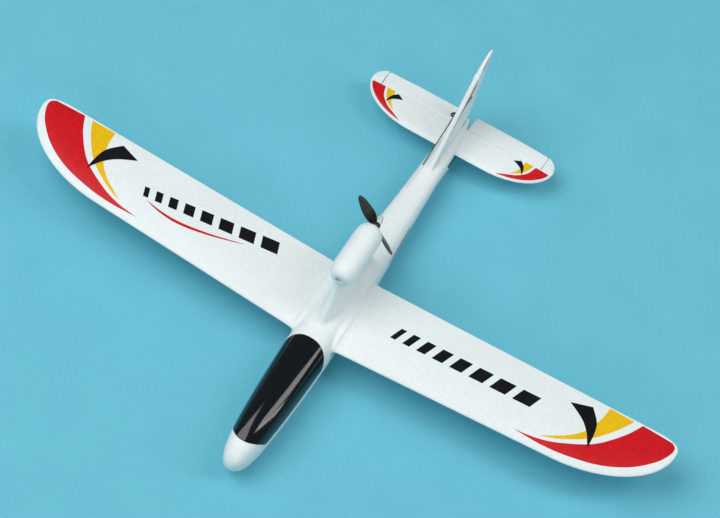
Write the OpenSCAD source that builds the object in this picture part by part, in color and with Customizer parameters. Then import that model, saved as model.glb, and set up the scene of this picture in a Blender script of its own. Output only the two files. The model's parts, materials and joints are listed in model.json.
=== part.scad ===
// Foam electric glider: a pod-and-boom sailplane with a pusher propeller on a pylon.
// +X is the left (port) wing, +Y runs aft, +Z is up, and the belly skid stands on z = 0.
// Lengths along the body are measured from the wing's leading edge at the root: negative is ahead.

/* [Body] */
// Nose tip to wing leading edge
nose_length = 142.5; // [120:1:175]
// Wing leading edge to the rudder's rear edge
aft_length = 317; // [264:1:381]
// Half width of the cabin at its widest
cabin_half_width = 21; // [20.5:0.5:25]
// Height of the spine over the belly
cabin_height = 48.7; // [46:0.5:56]
// Foam wall of the cabin and boom
foam_wall = 4; // [3:0.25:4.5]
// Thickness of the belly skid
skid_thickness = 1.3; // [0.8:0.1:2]
// Width of the belly skid
skid_width = 16; // [12:1:20]
// Length of the belly skid
skid_length = 120; // [80:1:140]

/* [Wing] */
// Wing tip to wing tip
span = 660; // [550:2:800]
// Chord at the root
root_chord = 81; // [70:1:97]
// Height of the chord line at the root
wing_height = 36; // [34:0.5:38]
// Upward slope of each wing, degrees
dihedral = 1.8; // [0:0.1:4]
// Section thickness over chord
wing_thickness_ratio = 0.09; // [0.085:0.005:0.12]
// Diameter of the carbon wing spar
spar_d = 3; // [2:0.25:3.5]
// Length of one wing spar
spar_length = 190; // [150:1:230]

/* [Canopy] */
// Front of the hatch opening, from the wing leading edge
hatch_front = -122; // [-124:1:-116]
// Rear of the hatch opening
hatch_rear = -5; // [-9:1:-3]
// Thickness of the moulded canopy
canopy_wall = 1.2; // [0.8:0.1:2]
// Diameter of the hatch magnets
magnet_d = 4; // [3:0.5:5]
// Thickness of each hatch magnet
magnet_t = 2; // [1:0.5:2.5]

/* [Motor pod] */
// Height of the motor axis over the belly
motor_height = 96; // [92:1:112]
// Largest radius of the motor pod
pod_radius = 12.8; // [12.4:0.2:15.4]
// Front of the pod, from the wing leading edge
pod_front = 33; // [28:1:36]
// Rear of the pod
pod_rear = 95; // [94:1:100]
// Diameter of the motor bell
bell_d = 19; // [16:0.5:20]
// Diameter of the motor shaft
shaft_d = 2; // [1.5:0.25:3]
// Propeller diameter
prop_d = 77; // [64:1:86]
// Angle of the parked propeller from upright, degrees
prop_rest = 33; // [0:1:90]

/* [Tail] */
// Span of the tailplane
tail_span = 196; // [164:2:236]
// Chord of the tailplane with its elevator
tail_chord = 48; // [44:1:56]
// Foam thickness of tailplane, fin and rudder
tail_thickness = 5; // [4:0.25:6]
// Chord of the elevator behind its hinge
elevator_chord = 16; // [13:0.5:19]
// Height of the fin tip over the belly
fin_top = 113; // [96:1:132]
// Gap at the hinges of the moving surfaces
hinge_gap = 0.5; // [0.3:0.05:0.9]
// Diameter of the steel hinge and joiner wires
hinge_wire_d = 1.5; // [1:0.1:1.8]
// Hinge line to the hole in a control horn
horn_radius = 9; // [8:0.5:10]

/* [Radio gear] */
// Battery length, along the body
battery_length = 50; // [40:1:56]
// Battery width
battery_width = 20; // [16:1:22]
// Battery height
battery_height = 12; // [10:0.5:14]
// Servo case length
servo_length = 19.5; // [16:0.5:21]
// Servo case width
servo_width = 8; // [7:0.25:9]
// Servo case height
servo_height = 14; // [12:0.5:15]
// Servo shaft to the hole in its arm
servo_arm_radius = 6; // [5:0.25:6.5]
// Diameter of a pushrod wire
rod_d = 1; // [0.8:0.1:1.2]
// Outer diameter of a guide tube
tube_d = 2.6; // [2.4:0.1:3]
// Thickness of the plywood trays
ply = 2; // [1.5:0.25:2.5]

/* [Hidden] */
$fn = 48;
slip = 0.1; // clearance of a rod or shaft in its hole, all round
seat = 0.3; // clearance between pieces of different bodies
hatch_gap = 0.45; // seam round the canopy
cut = 1; // how far a cutting tool runs past a face
far = 400;

wing_y = (nose_length - aft_length) / 2; // the wing's leading edge at the root, in the part's own frame
arc_steps = 12; // steps of a body half from keel to spine
roundness = 2.5; // 2 is an ellipse, more is boxier
least_half = 0.8; // half width and height that an inset section never goes under

// Hand-drawn lines of the body: [distance, half width, keel height, spine height] as shares
// of the nose length ahead of the wing, of the tail length behind it, and of the cabin's width and height.
nose_lines = [[-1, 0.07, 0.41, 0.49], [-0.986, 0.27, 0.30, 0.60], [-0.951, 0.46, 0.18, 0.71],
    [-0.889, 0.62, 0.10, 0.80], [-0.778, 0.755, 0.05, 0.88], [-0.59, 0.87, 0.02, 0.94],
    [-0.347, 0.955, 0, 0.98], [-0.07, 1, 0, 1]];
tail_lines = [[0.095, 1, 0, 1], [0.196, 0.965, 0.01, 0.985], [0.315, 0.86, 0.085, 0.9],
    [0.442, 0.74, 0.18, 0.785], [0.568, 0.635, 0.24, 0.715], [0.694, 0.55, 0.285, 0.67],
    [0.795, 0.47, 0.30, 0.64], [0.883, 0.32, 0.31, 0.62], [0.924, 0.17, 0.34, 0.605]];
body_lines = concat(
    [for (s = nose_lines) [s[0] * nose_length, s[1], s[2], s[3]]],
    [for (s = tail_lines) [s[0] * aft_length, s[1], s[2], s[3]]]);

function span_index(x, t, i = 0) = i >= len(t) - 2 || x < t[i + 1][0] ? i : span_index(x, t, i + 1);
function tangent(t, i, c) =
    let(a = max(i - 1, 0), b = min(i + 1, len(t) - 1)) (t[b][c] - t[a][c]) / (t[b][0] - t[a][0]);
// A smooth curve through the rows of a table, read in column c.
function curve(x, t, c) =
    let(i = span_index(x, t), h = t[i + 1][0] - t[i][0], s = (x - t[i][0]) / h,
        a = t[i][c], b = t[i + 1][c], m = tangent(t, i, c) * h, n = tangent(t, i + 1, c) * h)
    a * (1 + 2 * s) * pow(1 - s, 2) + m * s * pow(1 - s, 2) + b * pow(s, 2) * (3 - 2 * s)
        + n * pow(s, 2) * (s - 1);

function half_width(d) = cabin_half_width * curve(d, body_lines, 1);
function keel(d) = skid_thickness + cabin_height * max(curve(d, body_lines, 2), 0);
function spine(d) = skid_thickness + cabin_height * curve(d, body_lines, 3);
// A point of the body's section at distance d, set in by inset, at angle t from the keel.
function section_point(d, t, inset) =
    let(w = max(half_width(d) - inset, least_half), zc = (keel(d) + spine(d)) / 2,
        h = max((spine(d) - keel(d)) / 2 - inset, least_half))
    [w * pow(abs(sin(t)), 2 / roundness), wing_y + d,
     zc - h * sign(cos(t)) * pow(abs(cos(t)), 2 / roundness)];
// Half width inside or outside the body at height z.
function width_at(d, z, inset) =
    let(zc = (keel(d) + spine(d)) / 2, h = (spine(d) - keel(d)) / 2 - inset,
        u = min(abs(z - zc) / h, 1))
    (half_width(d) - inset) * pow(1 - pow(u, roundness), 1 / roundness);

// The hatch opening in plan: 1 where it takes the full width, 0 outside it, rounded at its corners.
hatch_corner_front = 16;
hatch_corner_rear = 13;
hatch_roundness = 2.2;
function hatch_share(d, gap) =
    let(m = min((d - hatch_front - gap) / hatch_corner_front, (hatch_rear - gap - d) / hatch_corner_rear))
    m <= 0 ? 0 : m >= 1 ? 1
        : pow(1 - pow(1 - m, hatch_roundness), 1 / hatch_roundness);
function hatch_angle(d, gap) =
    let(k = min(hatch_share(d, gap), 0.999) - gap / half_width(d))
    k <= 0 ? 180 : 180 - asin(pow(k, roundness / 2));

// Where the sections of the body stand.
corner_spacing = 1.3; // packs the sections towards the ends of the hatch
hatch_front_rings = [for (i = [0:8]) hatch_front + hatch_corner_front * pow(i / 8, corner_spacing)];
hatch_rear_rings = [for (i = [8:-1:0]) hatch_rear - hatch_corner_rear * pow(i / 8, corner_spacing)];
cabin_rings = [for (i = [1:7]) hatch_front + hatch_corner_front
    + (hatch_rear - hatch_corner_rear - hatch_front - hatch_corner_front) * i / 8];
nose_rings = [for (s = [-1, -0.994, -0.98, -0.955, -0.92, -0.885]) s * nose_length];
boom_end = body_lines[len(body_lines) - 1][0];
hollow_share = 0.73; // the boom is solid behind this share of the tail length
hollow_end = hollow_share * aft_length;
tail_rings = concat([for (i = [1:12]) hatch_rear + (hollow_end - hatch_rear) * i / 12],
    [for (i = [1:4]) hollow_end + (boom_end - hollow_end) * i / 4]);
body_rings = concat(nose_rings, hatch_front_rings, cabin_rings, hatch_rear_rings, tail_rings);
first_hollow = 3;
last_hollow = len(body_rings) - 5;

// One half of the body, solid at its ends and hollow between, open along the hatch.
module body_half() {
    n = len(body_rings);
    m = arc_steps + 1;
    outer = [for (d = body_rings) for (i = [0:arc_steps])
        section_point(d, hatch_angle(d, 0) * i / arc_steps, 0)];
    inner = [for (d = body_rings) for (i = [0:arc_steps])
        section_point(d, hatch_angle(d, 0) * i / arc_steps, foam_wall)];
    function o(r, i) = r * m + i;
    function q(r, i) = n * m + r * m + i;
    a = first_hollow;
    b = last_hollow;
    faces = concat(
        [for (r = [0:n - 2]) for (i = [0:arc_steps - 1]) each
            [[o(r, i), o(r, i + 1), o(r + 1, i + 1)], [o(r, i), o(r + 1, i + 1), o(r + 1, i)]]],
        [for (r = [a:b - 1]) for (i = [0:arc_steps - 1]) each
            [[q(r, i), q(r + 1, i + 1), q(r, i + 1)], [q(r, i), q(r + 1, i), q(r + 1, i + 1)]]],
        [[for (i = [0:arc_steps]) q(a, i)], [for (i = [arc_steps:-1:0]) q(b, i)]],
        [[for (i = [arc_steps:-1:0]) o(0, i)], [for (i = [0:arc_steps]) o(n - 1, i)]],
        [for (r = [0:n - 2]) if (r < a - 1 || r > b)
            [o(r, 0), o(r + 1, 0), o(r + 1, arc_steps), o(r, arc_steps)]],
        [[o(a - 1, 0), o(a, 0), q(a, 0), q(a, arc_steps), o(a, arc_steps), o(a - 1, arc_steps)]],
        [[o(b + 1, arc_steps), o(b, arc_steps), q(b, arc_steps), q(b, 0), o(b, 0), o(b + 1, 0)]],
        [for (r = [a:b - 1]) each
            [[o(r, 0), o(r + 1, 0), q(r + 1, 0)], [o(r, 0), q(r + 1, 0), q(r, 0)],
             [o(r, arc_steps), q(r + 1, arc_steps), o(r + 1, arc_steps)],
             [o(r, arc_steps), q(r, arc_steps), q(r + 1, arc_steps)]]]);
    polyhedron(points = concat(outer, inner), faces = faces);
}

// A solid through closed rings of points, each given the same way round, with flat ends.
module loft(rings) {
    n = len(rings);
    m = len(rings[0]);
    polyhedron(
        points = [for (r = rings) each r],
        faces = concat(
            [[for (i = [0:m - 1]) i]],
            [[for (i = [m - 1:-1:0]) (n - 1) * m + i]],
            [for (r = [0:n - 2]) for (i = [0:m - 1]) each
                [[r * m + i, (r + 1) * m + i, (r + 1) * m + (i + 1) % m],
                 [r * m + i, (r + 1) * m + (i + 1) % m, r * m + (i + 1) % m]]]));
}

// The wing's outline in plan, at distance x from the middle.
half_span = span / 2;
tip_length = 94;
tip_sweep = 57;
tip_rear_length = 30;
leading_sweep = 0.046;
trailing_sweep = 0.012;
function wing_front(x) =
    let(u = max((x - half_span + tip_length) / tip_length, 0))
    leading_sweep * x + tip_sweep * (1 - sqrt(max(1 - u * u, 0)));
function wing_rear(x) =
    let(u = max((x - half_span + tip_rear_length) / tip_rear_length, 0),
        mid = wing_front(half_span), straight = root_chord + trailing_sweep * x)
    mid + (straight - mid) * pow(max(1 - pow(u, 3), 0), 1 / 3);
function section_thickness(s) =
    5 * (0.2969 * sqrt(s) - 0.126 * s - 0.3516 * s * s + 0.2843 * pow(s, 3) - 0.1036 * pow(s, 4));
// The section's middle line, highest at camber_place.
camber_height = 0.02;
camber_place = 0.4;
function camber(s) =
    let(p = camber_place)
    camber_height * (2 * p * s - s * s + (s < p ? 0 : 1 - 2 * p)) / pow(s < p ? p : 1 - p, 2);
section_steps = 9;
front_spacing = 1.6; // packs the section's points towards its front
wing_edge = 0.6; // thickness of the wing's rear edge
function wing_ring(x) =
    let(a = wing_front(x), c = wing_rear(x) - a, z0 = wing_height + x * tan(dihedral))
    concat(
        [for (i = [0:section_steps]) let(s = pow(1 - i / section_steps, front_spacing))
            [x, wing_y + a + c * s,
             z0 + c * (camber(s) + wing_thickness_ratio * section_thickness(s)) + wing_edge / 2 * s]],
        [for (i = [1:section_steps]) let(s = pow(i / section_steps, front_spacing))
            [x, wing_y + a + c * s,
             z0 + c * (camber(s) - wing_thickness_ratio * section_thickness(s)) - wing_edge / 2 * s]]);
wing_root_x = cabin_half_width + 0.6;
tip_end = half_span - 1; // the last section of the wing stands here
root_seam = 0.02; // glue line between a wing and its seat
wing_rings = 15;

spar_y = 27;
spar_rise = 1.6;
module along_spar(length, d) {
    translate([0, wing_y + spar_y, wing_height + spar_rise])
        rotate([0, 90 - dihedral, 0])
            cylinder(d = d, h = length);
}

module wing_half() {
    difference() {
        loft([for (i = [0:wing_rings])
            wing_ring(wing_root_x + root_seam + (tip_end - wing_root_x) * sin(90 * i / wing_rings))]);
        along_spar(spar_length + 2 * cut, spar_d + 2 * slip);
    }
}
module wing_left() {
    color("white") wing_half();
}
module wing_right() {
    color("white") mirror([1, 0, 0]) wing_half();
}
module spar_half() {
    intersection() {
        along_spar(spar_length, spar_d);
        translate([seat, -far, -far])
            cube([far, 2 * far, 2 * far]);
    }
}
module wing_spar_left() {
    color("dimgray") spar_half();
}
module wing_spar_right() {
    color("dimgray") mirror([1, 0, 0]) spar_half();
}
seat_depth = 7; // the wing's seat starts this far inside the side of the body
wing_seat_x = width_at(spar_y, wing_height, 0) - seat_depth;
joiner_depth = 8;
joiner_height = 7;
joiner_half = min(wing_seat_x,
    width_at(spar_y, wing_height + spar_rise + joiner_height / 2, foam_wall)) - 2 * seat;
joiner_size = [2 * joiner_half, joiner_depth, joiner_height];
module wing_joiner() {
    color("tan")
    difference() {
        translate([0, wing_y + spar_y, wing_height + spar_rise])
            cube(joiner_size, center = true);
        along_spar(far, spar_d + slip);
        mirror([1, 0, 0]) along_spar(far, spar_d + slip);
    }
}

// The root fairing that carries the wing's square end on the round body side.
module wing_seat() {
    ring = wing_ring(wing_root_x);
    translate([wing_seat_x, 0, 0])
        rotate([90, 0, 90])
            linear_extrude(wing_root_x - wing_seat_x)
                polygon([for (p = ring) [p[1], p[2]]]);
}

// The pylon's half: [height share, leading edge, trailing edge, half width] from the spine to the pod.
pylon_base = skid_thickness + 0.87 * cabin_height;
pylon_lines = [[0, 2, 113, 13], [0.12, 8, 101.5, 10.5], [0.35, 18, 97, 8.5], [0.6, 27, 96.5, 8.5],
    [0.8, 32, 96, 10], [1, 35, 94.5, 12.2]];
pylon_top = motor_height - 3;
pylon_points = 9;
pylon_spacing = 1.5; // packs the points of a pylon section towards its front
pylon_bluntness = 0.75; // puts the thickest place of a section ahead of its middle
pylon_fullness = 0.8;
function pylon_ring(k) =
    let(a = curve(k, pylon_lines, 1), b = curve(k, pylon_lines, 2), w = curve(k, pylon_lines, 3),
        z = pylon_base + (pylon_top - pylon_base) * k)
    [for (i = [0:pylon_points]) let(s = pow(i / pylon_points, pylon_spacing))
        [w * pow(sin(180 * pow(s, pylon_bluntness)), pylon_fullness), wing_y + a + (b - a) * s, z]];
module pylon_half() {
    loft([for (j = [0:8]) pylon_ring(j / 8)]);
}

// The pod's outline, [radius, distance]: a round nose, a straight barrel and a rounded tail.
pod_nose = 17;
pod_tail = 11;
pod_mouth = 3.2;
pod_exit = 6.5;
pod_lip = 2;
pod_mouth_depth = 8;
function pod_outline(grow) = concat(
    [for (i = [0:8]) let(s = i / 8)
        [pod_mouth + (pod_radius - pod_mouth) * sqrt(1 - pow(1 - s, 2)) + grow,
         pod_front + pod_nose * pow(s, 1.3) - (i == 0 ? grow : 0)]],
    [for (i = [0:8]) let(s = i / 8)
        [pod_exit + pod_lip + (pod_radius - pod_exit - pod_lip) * sqrt(1 - s * s) + grow,
         pod_rear - pod_tail * (1 - s) + (i == 8 ? grow : 0)]]);
pod_wall = 2;
pod_bore = pod_radius - pod_wall;
module on_motor_axis() {
    translate([0, wing_y, motor_height])
        rotate([-90, 0, 0])
            children();
}
module pod_body(grow) {
    on_motor_axis()
        rotate_extrude()
            polygon(concat([[0, pod_outline(grow)[0][1]]], pod_outline(grow),
                [[0, pod_rear + grow]]));
}
mount_y = 88;
mount_t = 2.4;
module pod_shell() {
    on_motor_axis()
        difference() {
            rotate_extrude()
                polygon(concat([[pod_mouth, pod_front]],
                    [for (i = [1:len(pod_outline(0)) - 1]) pod_outline(0)[i]],
                    [[pod_exit, pod_rear], [pod_exit, mount_y + mount_t], [pod_bore, mount_y + mount_t],
                     [pod_bore, pod_front + pod_nose], [pod_mouth, pod_front + pod_mouth_depth]]));
        }
}
wire_way_y = 85.6;
wire_way = [3.4, 5.4];
wire_way_sink = 12; // how far the lead way starts under the spine
wire_way_rise = 4; // how far it goes above the motor axis, less its sink
module wire_way_cut() {
    translate([-wire_way[0] / 2, wing_y + wire_way_y - wire_way[1] / 2, spine(wire_way_y) - wire_way_sink])
        cube([wire_way[0], wire_way[1], motor_height - spine(wire_way_y) + wire_way_rise]);
}
module pod_half() {
    difference() {
        intersection() {
            pod_shell();
            translate([0, -far, 0])
                cube([far, 2 * far, far]);
        }
        wire_way_cut();
    }
}
module pod_left() {
    color("white") pod_half();
}
module pod_right() {
    color("white") mirror([1, 0, 0]) pod_half();
}

// The tail surfaces' places, as distances behind the wing's leading edge.
tail_rear = aft_length - 17;
tail_front = tail_rear - tail_chord;
elevator_hinge = tail_rear - elevator_chord;
tail_height = 24;
nose_r = tail_thickness / 2 - 0.2; // the round front of a moving surface, about its hinge
elevator_cut = elevator_hinge - nose_r - hinge_gap;
tip_cut_x = 0.88 * tail_span / 2; // the elevators end here and the tips stay fixed
tail_tip_length = 58;
tail_tip_rear_length = 18;
tail_tip_sweep = 0.69 * tail_chord;
tail_thinning = 10; // the tips thin out over this length
tip_share = 0.1; // and end at this share of the thickness
function tail_le(x) =
    let(u = max((x - tail_span / 2 + tail_tip_length) / tail_tip_length, 0))
    tail_front + tail_tip_sweep * (1 - sqrt(max(1 - u * u, 0)));
function tail_te(x) =
    let(u = max((x - tail_span / 2 + tail_tip_rear_length) / tail_tip_rear_length, 0),
        mid = tail_le(tail_span / 2))
    mid + (tail_rear - mid) * pow(max(1 - pow(u, 2), 0), 1 / 2);
tail_steps = 8;
tail_spacing = 1.5;
function tail_ring(x) =
    let(a = tail_le(abs(x)), c = tail_te(abs(x)) - a,
        t = tail_thickness
            * min(1, sqrt(max(tail_span / 2 - abs(x), 0) / tail_thinning) * (1 - tip_share) + tip_share))
    concat(
        [for (i = [0:tail_steps]) let(s = pow(i / tail_steps, tail_spacing))
            [x, wing_y + a + c * s, tail_height - t / 2 * tail_shape(s)]],
        [for (i = [tail_steps:-1:1]) let(s = pow(i / tail_steps, tail_spacing))
            [x, wing_y + a + c * s, tail_height + t / 2 * tail_shape(s)]]);
// Thickness along the chord as a share: rounded at the front, tapering at the rear.
front_round = 0.12;
rear_taper = 0.32;
rear_share = 0.25;
function tail_shape(s) =
    min(sqrt(min(s / front_round, 1)), (1 - s) / rear_taper * (1 - rear_share) + rear_share);

module stabilizer() {
    edge = tail_span / 2 - 0.6;
    n = 11;
    color("white")
    difference() {
        loft([for (i = [-n:n]) tail_ring(edge * sign(i) * pow(abs(i) / n, 0.6))]);
        translate([-tip_cut_x - seat, wing_y + elevator_cut, tail_height - 10])
            cube([2 * tip_cut_x + 2 * seat, 60, 20]);
        for (x = elevator_hinge_xs)
            translate([x, wing_y + elevator_hinge - nose_r - 6, tail_height])
                cube([hinge_leaf[0] + 2 * slip, 14, hinge_leaf[2] + 2 * slip], center = true);
    }
}

// Elevators: a hinge-line nose, tapering to a thin rear edge, chamfered beside the rudder.
elevator_root_x = 7.2;
edge_t = 1; // thickness of the rear edge of a moving surface
corner_start = 11; // the inner corner is cut away from here, behind the hinge
corner_cut = 2;
hinge_leaf = [7, 8, 0.5];
elevator_hinge_xs = [-66, -30, 30, 66];
// The blank of a moving surface: a round front on its hinge line and a taper behind it.
module moving_blank(chord, length) {
    cylinder(r = nose_r, h = length);
    linear_extrude(length)
        polygon([[0, nose_r - 0.01], [chord, edge_t / 2], [chord, -edge_t / 2], [0, 0.01 - nose_r]]);
}
module elevator_panel() {
    difference() {
        translate([elevator_root_x, wing_y + elevator_hinge, tail_height])
            rotate([90, 0, 90])
                moving_blank(elevator_chord, tip_cut_x - elevator_root_x - seat);
        translate([0, wing_y, tail_height - 10])
            linear_extrude(20) {
                polygon([[elevator_root_x - cut, elevator_hinge + corner_start],
                    [elevator_root_x, elevator_hinge + corner_start],
                    [elevator_root_x + corner_cut, tail_rear + cut], [elevator_root_x - cut, tail_rear + cut]]);
                polygon([[tip_cut_x / 2, tail_rear], [tip_cut_x, tail_rear - corner_cut],
                    [tip_cut_x, tail_rear + cut], [tip_cut_x / 2, tail_rear + cut]]);
            }
        joiner_cut();
    }
}
joiner_reach = 26;
module joiner_cut() {
    translate([0, wing_y + elevator_hinge, tail_height])
        rotate([0, 90, 0])
            cylinder(d = hinge_wire_d + 2 * slip, h = 2 * (elevator_root_x + joiner_reach), center = true);
}
module elevator_left() {
    color("white") elevator_panel();
}
module elevator_right() {
    color("white") mirror([1, 0, 0]) elevator_panel();
}
module elevator_joiner() {
    color("silver")
    translate([0, wing_y + elevator_hinge, tail_height])
        rotate([0, 90, 0])
            cylinder(d = hinge_wire_d, h = 2 * (elevator_root_x + joiner_reach) - 1, center = true);
}
// Small barrel hinges: a leaf in the fixed tail and a pin on the hinge line.
module elevator_hinges() {
    color("gainsboro")
    for (x = elevator_hinge_xs)
        translate([x, wing_y + elevator_cut - 4 + seat / 2, tail_height])
            cube([hinge_leaf[0], 8, hinge_leaf[2]], center = true);
}

// The rudder turns about a leaning hinge line that rises from rudder_foot.
rudder_foot = [0.882 * aft_length, skid_thickness + 0.63 * cabin_height + 0.6];
fin_rise = fin_top - rudder_foot[1];
hinge_lean = 17 / 82;
lean_angle = atan(hinge_lean);
function hinge_line(z) = rudder_foot[0] + (z - rudder_foot[1]) * hinge_lean;
function at_rise(k) = rudder_foot[1] + fin_rise * k;
// Leading edge of the fin and rear edge of the rudder: [share of the rise, distance behind the foot].
fin_front_line = [[-0.06, -70], [0.12, -53], [0.58, -14], [0.77, 3], [0.89, 15], [0.96, 24], [0.995, 31]];
rudder_rear_line = [[0, 15.5], [0.05, 17.5], [0.5, 29.5], [0.7, 33], [0.92, 37.4], [0.98, 37], [0.998, 33]];
fin_points = 14;
fin_share = 0.82; // share of the rise where the fin's front meets the hinge line
fin_base = tail_height + tail_thickness / 2 + seat;
fin_tongue = [-68, -5]; // the fin's foot in the body, from and to, from the rudder's foot
fin_back = nose_r + hinge_gap; // the fin stops this far ahead of the hinge line
module fin_outline() {
    k0 = -0.05;
    polygon(concat(
        [[rudder_foot[0] + fin_tongue[1], fin_base], [rudder_foot[0] + fin_tongue[0], fin_base]],
        [for (i = [0:fin_points]) let(k = k0 + (fin_share - k0) * i / fin_points)
            [rudder_foot[0] + curve(k, fin_front_line, 1), at_rise(k)]],
        [[hinge_line(at_rise(fin_share)) - fin_back / cos(lean_angle), at_rise(fin_share)],
         [rudder_foot[0] - fin_back / cos(lean_angle) - 0.4, rudder_foot[1] - 2]]));
}
module fin() {
    color("white")
    difference() {
        fin_panel();
        on_rudder_hinge()
            for (k = rudder_hinge_places)
                translate([0, -nose_r - hinge_gap - hinge_leaf[1] / 2, fin_rise * k])
                    cube([hinge_leaf[2] + 2 * slip, hinge_leaf[1] + 2 * slip, hinge_leaf[0] + 2 * slip],
                        center = true);
    }
}
module fin_panel() {
    translate([-tail_thickness / 2, 0, 0])
        rotate([90, 0, 90])
            linear_extrude(tail_thickness)
                translate([wing_y, 0])
                    fin_outline();
}
module rudder_blank() {
    translate([0, wing_y + rudder_foot[0], rudder_foot[1]])
        rotate([-lean_angle, 0, 0])
            translate([0, 0, -6])
                rotate([0, 0, 90])
                    moving_blank(rudder_chord, fin_rise + 20);
}
rudder_hinge_places = [0.22, 0.45, 0.68];
rudder_chord = 26;
module rudder() {
    color("white")
    difference() {
        intersection() {
            rudder_blank();
            translate([-10, 0, 0])
                rotate([90, 0, 90])
                    linear_extrude(20)
                        translate([wing_y, 0])
                            polygon(concat(
                                [for (i = [0:fin_points]) let(k = 0.998 * sin(90 * i / fin_points))
                                    [rudder_foot[0] + curve(k, rudder_rear_line, 1), at_rise(k)]],
                                [for (i = [0:6]) let(k = 0.995 - (0.985 - fin_share) * i / 6)
                                    [rudder_foot[0] + curve(k, fin_front_line, 1), at_rise(k)]],
                                [[hinge_line(at_rise(fin_share)) - 8, at_rise(fin_share) - 1],
                                 [rudder_foot[0] - 8, rudder_foot[1]]]));
        }
        rudder_wire_hole();
    }
}
rudder_wire_length = 12;
// The wire stops above the tailplane.
rudder_wire_sink = (rudder_foot[1] - fin_base) / cos(lean_angle) - hinge_wire_d / 2;
module on_rudder_hinge() {
    translate([0, wing_y + rudder_foot[0], rudder_foot[1]])
        rotate([-lean_angle, 0, 0])
            children();
}
module rudder_wire_hole() {
    on_rudder_hinge()
        translate([0, 0, -rudder_wire_sink - seat])
            cylinder(d = hinge_wire_d + 2 * slip, h = rudder_wire_length + rudder_wire_sink + seat + slip);
}
module rudder_hinge_wire() {
    color("silver")
    on_rudder_hinge()
        translate([0, 0, -rudder_wire_sink])
            cylinder(d = hinge_wire_d, h = rudder_wire_length + rudder_wire_sink);
}
module rudder_hinges() {
    color("gainsboro")
    for (k = rudder_hinge_places)
        on_rudder_hinge()
            translate([0, -nose_r - hinge_gap - hinge_leaf[1] / 2 + slip, fin_rise * k])
                cube([hinge_leaf[2], hinge_leaf[1], hinge_leaf[0]], center = true);
}

// Radio gear, laid out from the wing's leading edge.
floor_z = 15;
tray_front = hatch_front + 20;
tray_rear = hatch_rear - 12;
module tray_plate(d0, d1, z) {
    w = min(width_at(d0, z, foam_wall), width_at(d1, z, foam_wall)) - seat;
    translate([-w, wing_y + d0, z])
        cube([2 * w, d1 - d0, ply]);
}
strap_slot = [1.6, 14];
battery_y = tray_front + 3;
strap_y = battery_y + battery_length / 2;
module battery_tray() {
    color("burlywood")
    difference() {
        tray_plate(tray_front, tray_rear, floor_z);
        for (side = [-1, 1])
            translate([side * (battery_width / 2 + seat + strap_t / 2), wing_y + strap_y, floor_z])
                cube([strap_slot[0], strap_slot[1], 20], center = true);
    }
}
module battery() {
    color("royalblue")
    translate([0, wing_y + battery_y, floor_z + ply + battery_height / 2])
        rotate([-90, 0, 0])
            linear_extrude(battery_length)
                rounded(battery_width, battery_height, battery_round);
}
module rounded(w, h, r) {
    square([w - 2 * r, h], center = true);
    square([w, h - 2 * r], center = true);
    for (x = [-1, 1])
        for (y = [-1, 1])
            translate([x * (w / 2 - r), y * (h / 2 - r)])
                circle(r = r);
}
strap_t = 1.2;
module battery_strap() {
    color("black")
    translate([0, wing_y + strap_y + strap_slot[1] / 2 - 1, floor_z + ply])
        rotate([90, 0, 0])
            linear_extrude(strap_slot[1] - 2)
                difference() {
                    w = battery_width / 2 + seat;
                    translate([-w - strap_t, -ply])
                        square([2 * (w + strap_t), battery_height + seat + strap_t + ply]);
                    translate([-w, -ply - cut])
                        square([2 * w, battery_height + seat + ply + cut]);
                }
}
battery_round = 2.5; // radius of the battery's long edges
plug_size = [7, 10, 5];
plug_y = battery_y + battery_length + 5;
plug_x = 7.5;
module battery_plug() {
    color("firebrick")
    translate([plug_x - plug_size[0] / 2, wing_y + plug_y, floor_z + ply])
        cube(plug_size);
}
receiver_size = [16, 24, 7];
receiver_y = plug_y - 2;
module receiver() {
    color("darkslategray")
    translate([-9 - receiver_size[0] / 2 + 3, wing_y + receiver_y, floor_z + ply])
        cube(receiver_size);
}
controller_size = [14, 26, 5];
controller_y = 50;
module speed_controller() {
    color("darkgreen")
    translate([-controller_size[0] / 2, wing_y + controller_y, controller_z])
        cube(controller_size);
}
controller_z = keel(controller_y + controller_size[1]) + foam_wall + 1.4;
lead_height = 2.5; // height of a lead's middle over what its plug stands on
supply_x = 0;
supply_z = 14;
motor_lead_r = 0.6;

// A round lead through its points, with 8 sides.
function lead_ring(p, a, b, r) =
    let(t = (b - a) / norm(b - a), side = cross(t, [1, 0, 0]), u = norm(side) > 0.3 ? side : cross(t, [0, 0, 1]),
        e = u / norm(u), f = cross(t, e))
    [for (i = [0:7]) p + r * (cos(45 * i) * e + sin(45 * i) * f)];
module lead(path, r) {
    n = len(path);
    loft([for (i = [0:n - 1]) lead_ring(path[i], path[max(i - 1, 0)], path[min(i + 1, n - 1)], r)]);
}
lead_r = 0.7;
module battery_leads() {
    z = floor_z + ply + lead_height;
    color("red")
    for (x = [-1.2, 1.2])
        lead([for (k = [0, 0.5, 1]) [plug_x + x, wing_y + plug_y - 5 + seat + (5 - 2 * seat) * k, z]], lead_r);
}
module supply_leads() {
    color("crimson")
    for (x = [-1, 1])
        lead([
            [plug_x + x * 1.2, wing_y + plug_y + plug_size[1] + seat, floor_z + ply + lead_height],
            [plug_x + x * 1.2, wing_y + tray_rear, floor_z + ply + lead_height],
            [supply_x + x, wing_y + servo_y - lug_reach - 4, supply_z],
            [supply_x + x, wing_y + servo_y + servo_length + lug_reach + 3, supply_z],
            [3 + x, wing_y + controller_y - 5, controller_z + lead_height],
            [3 + x, wing_y + controller_y - seat, controller_z + lead_height]], lead_r);
}
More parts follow.
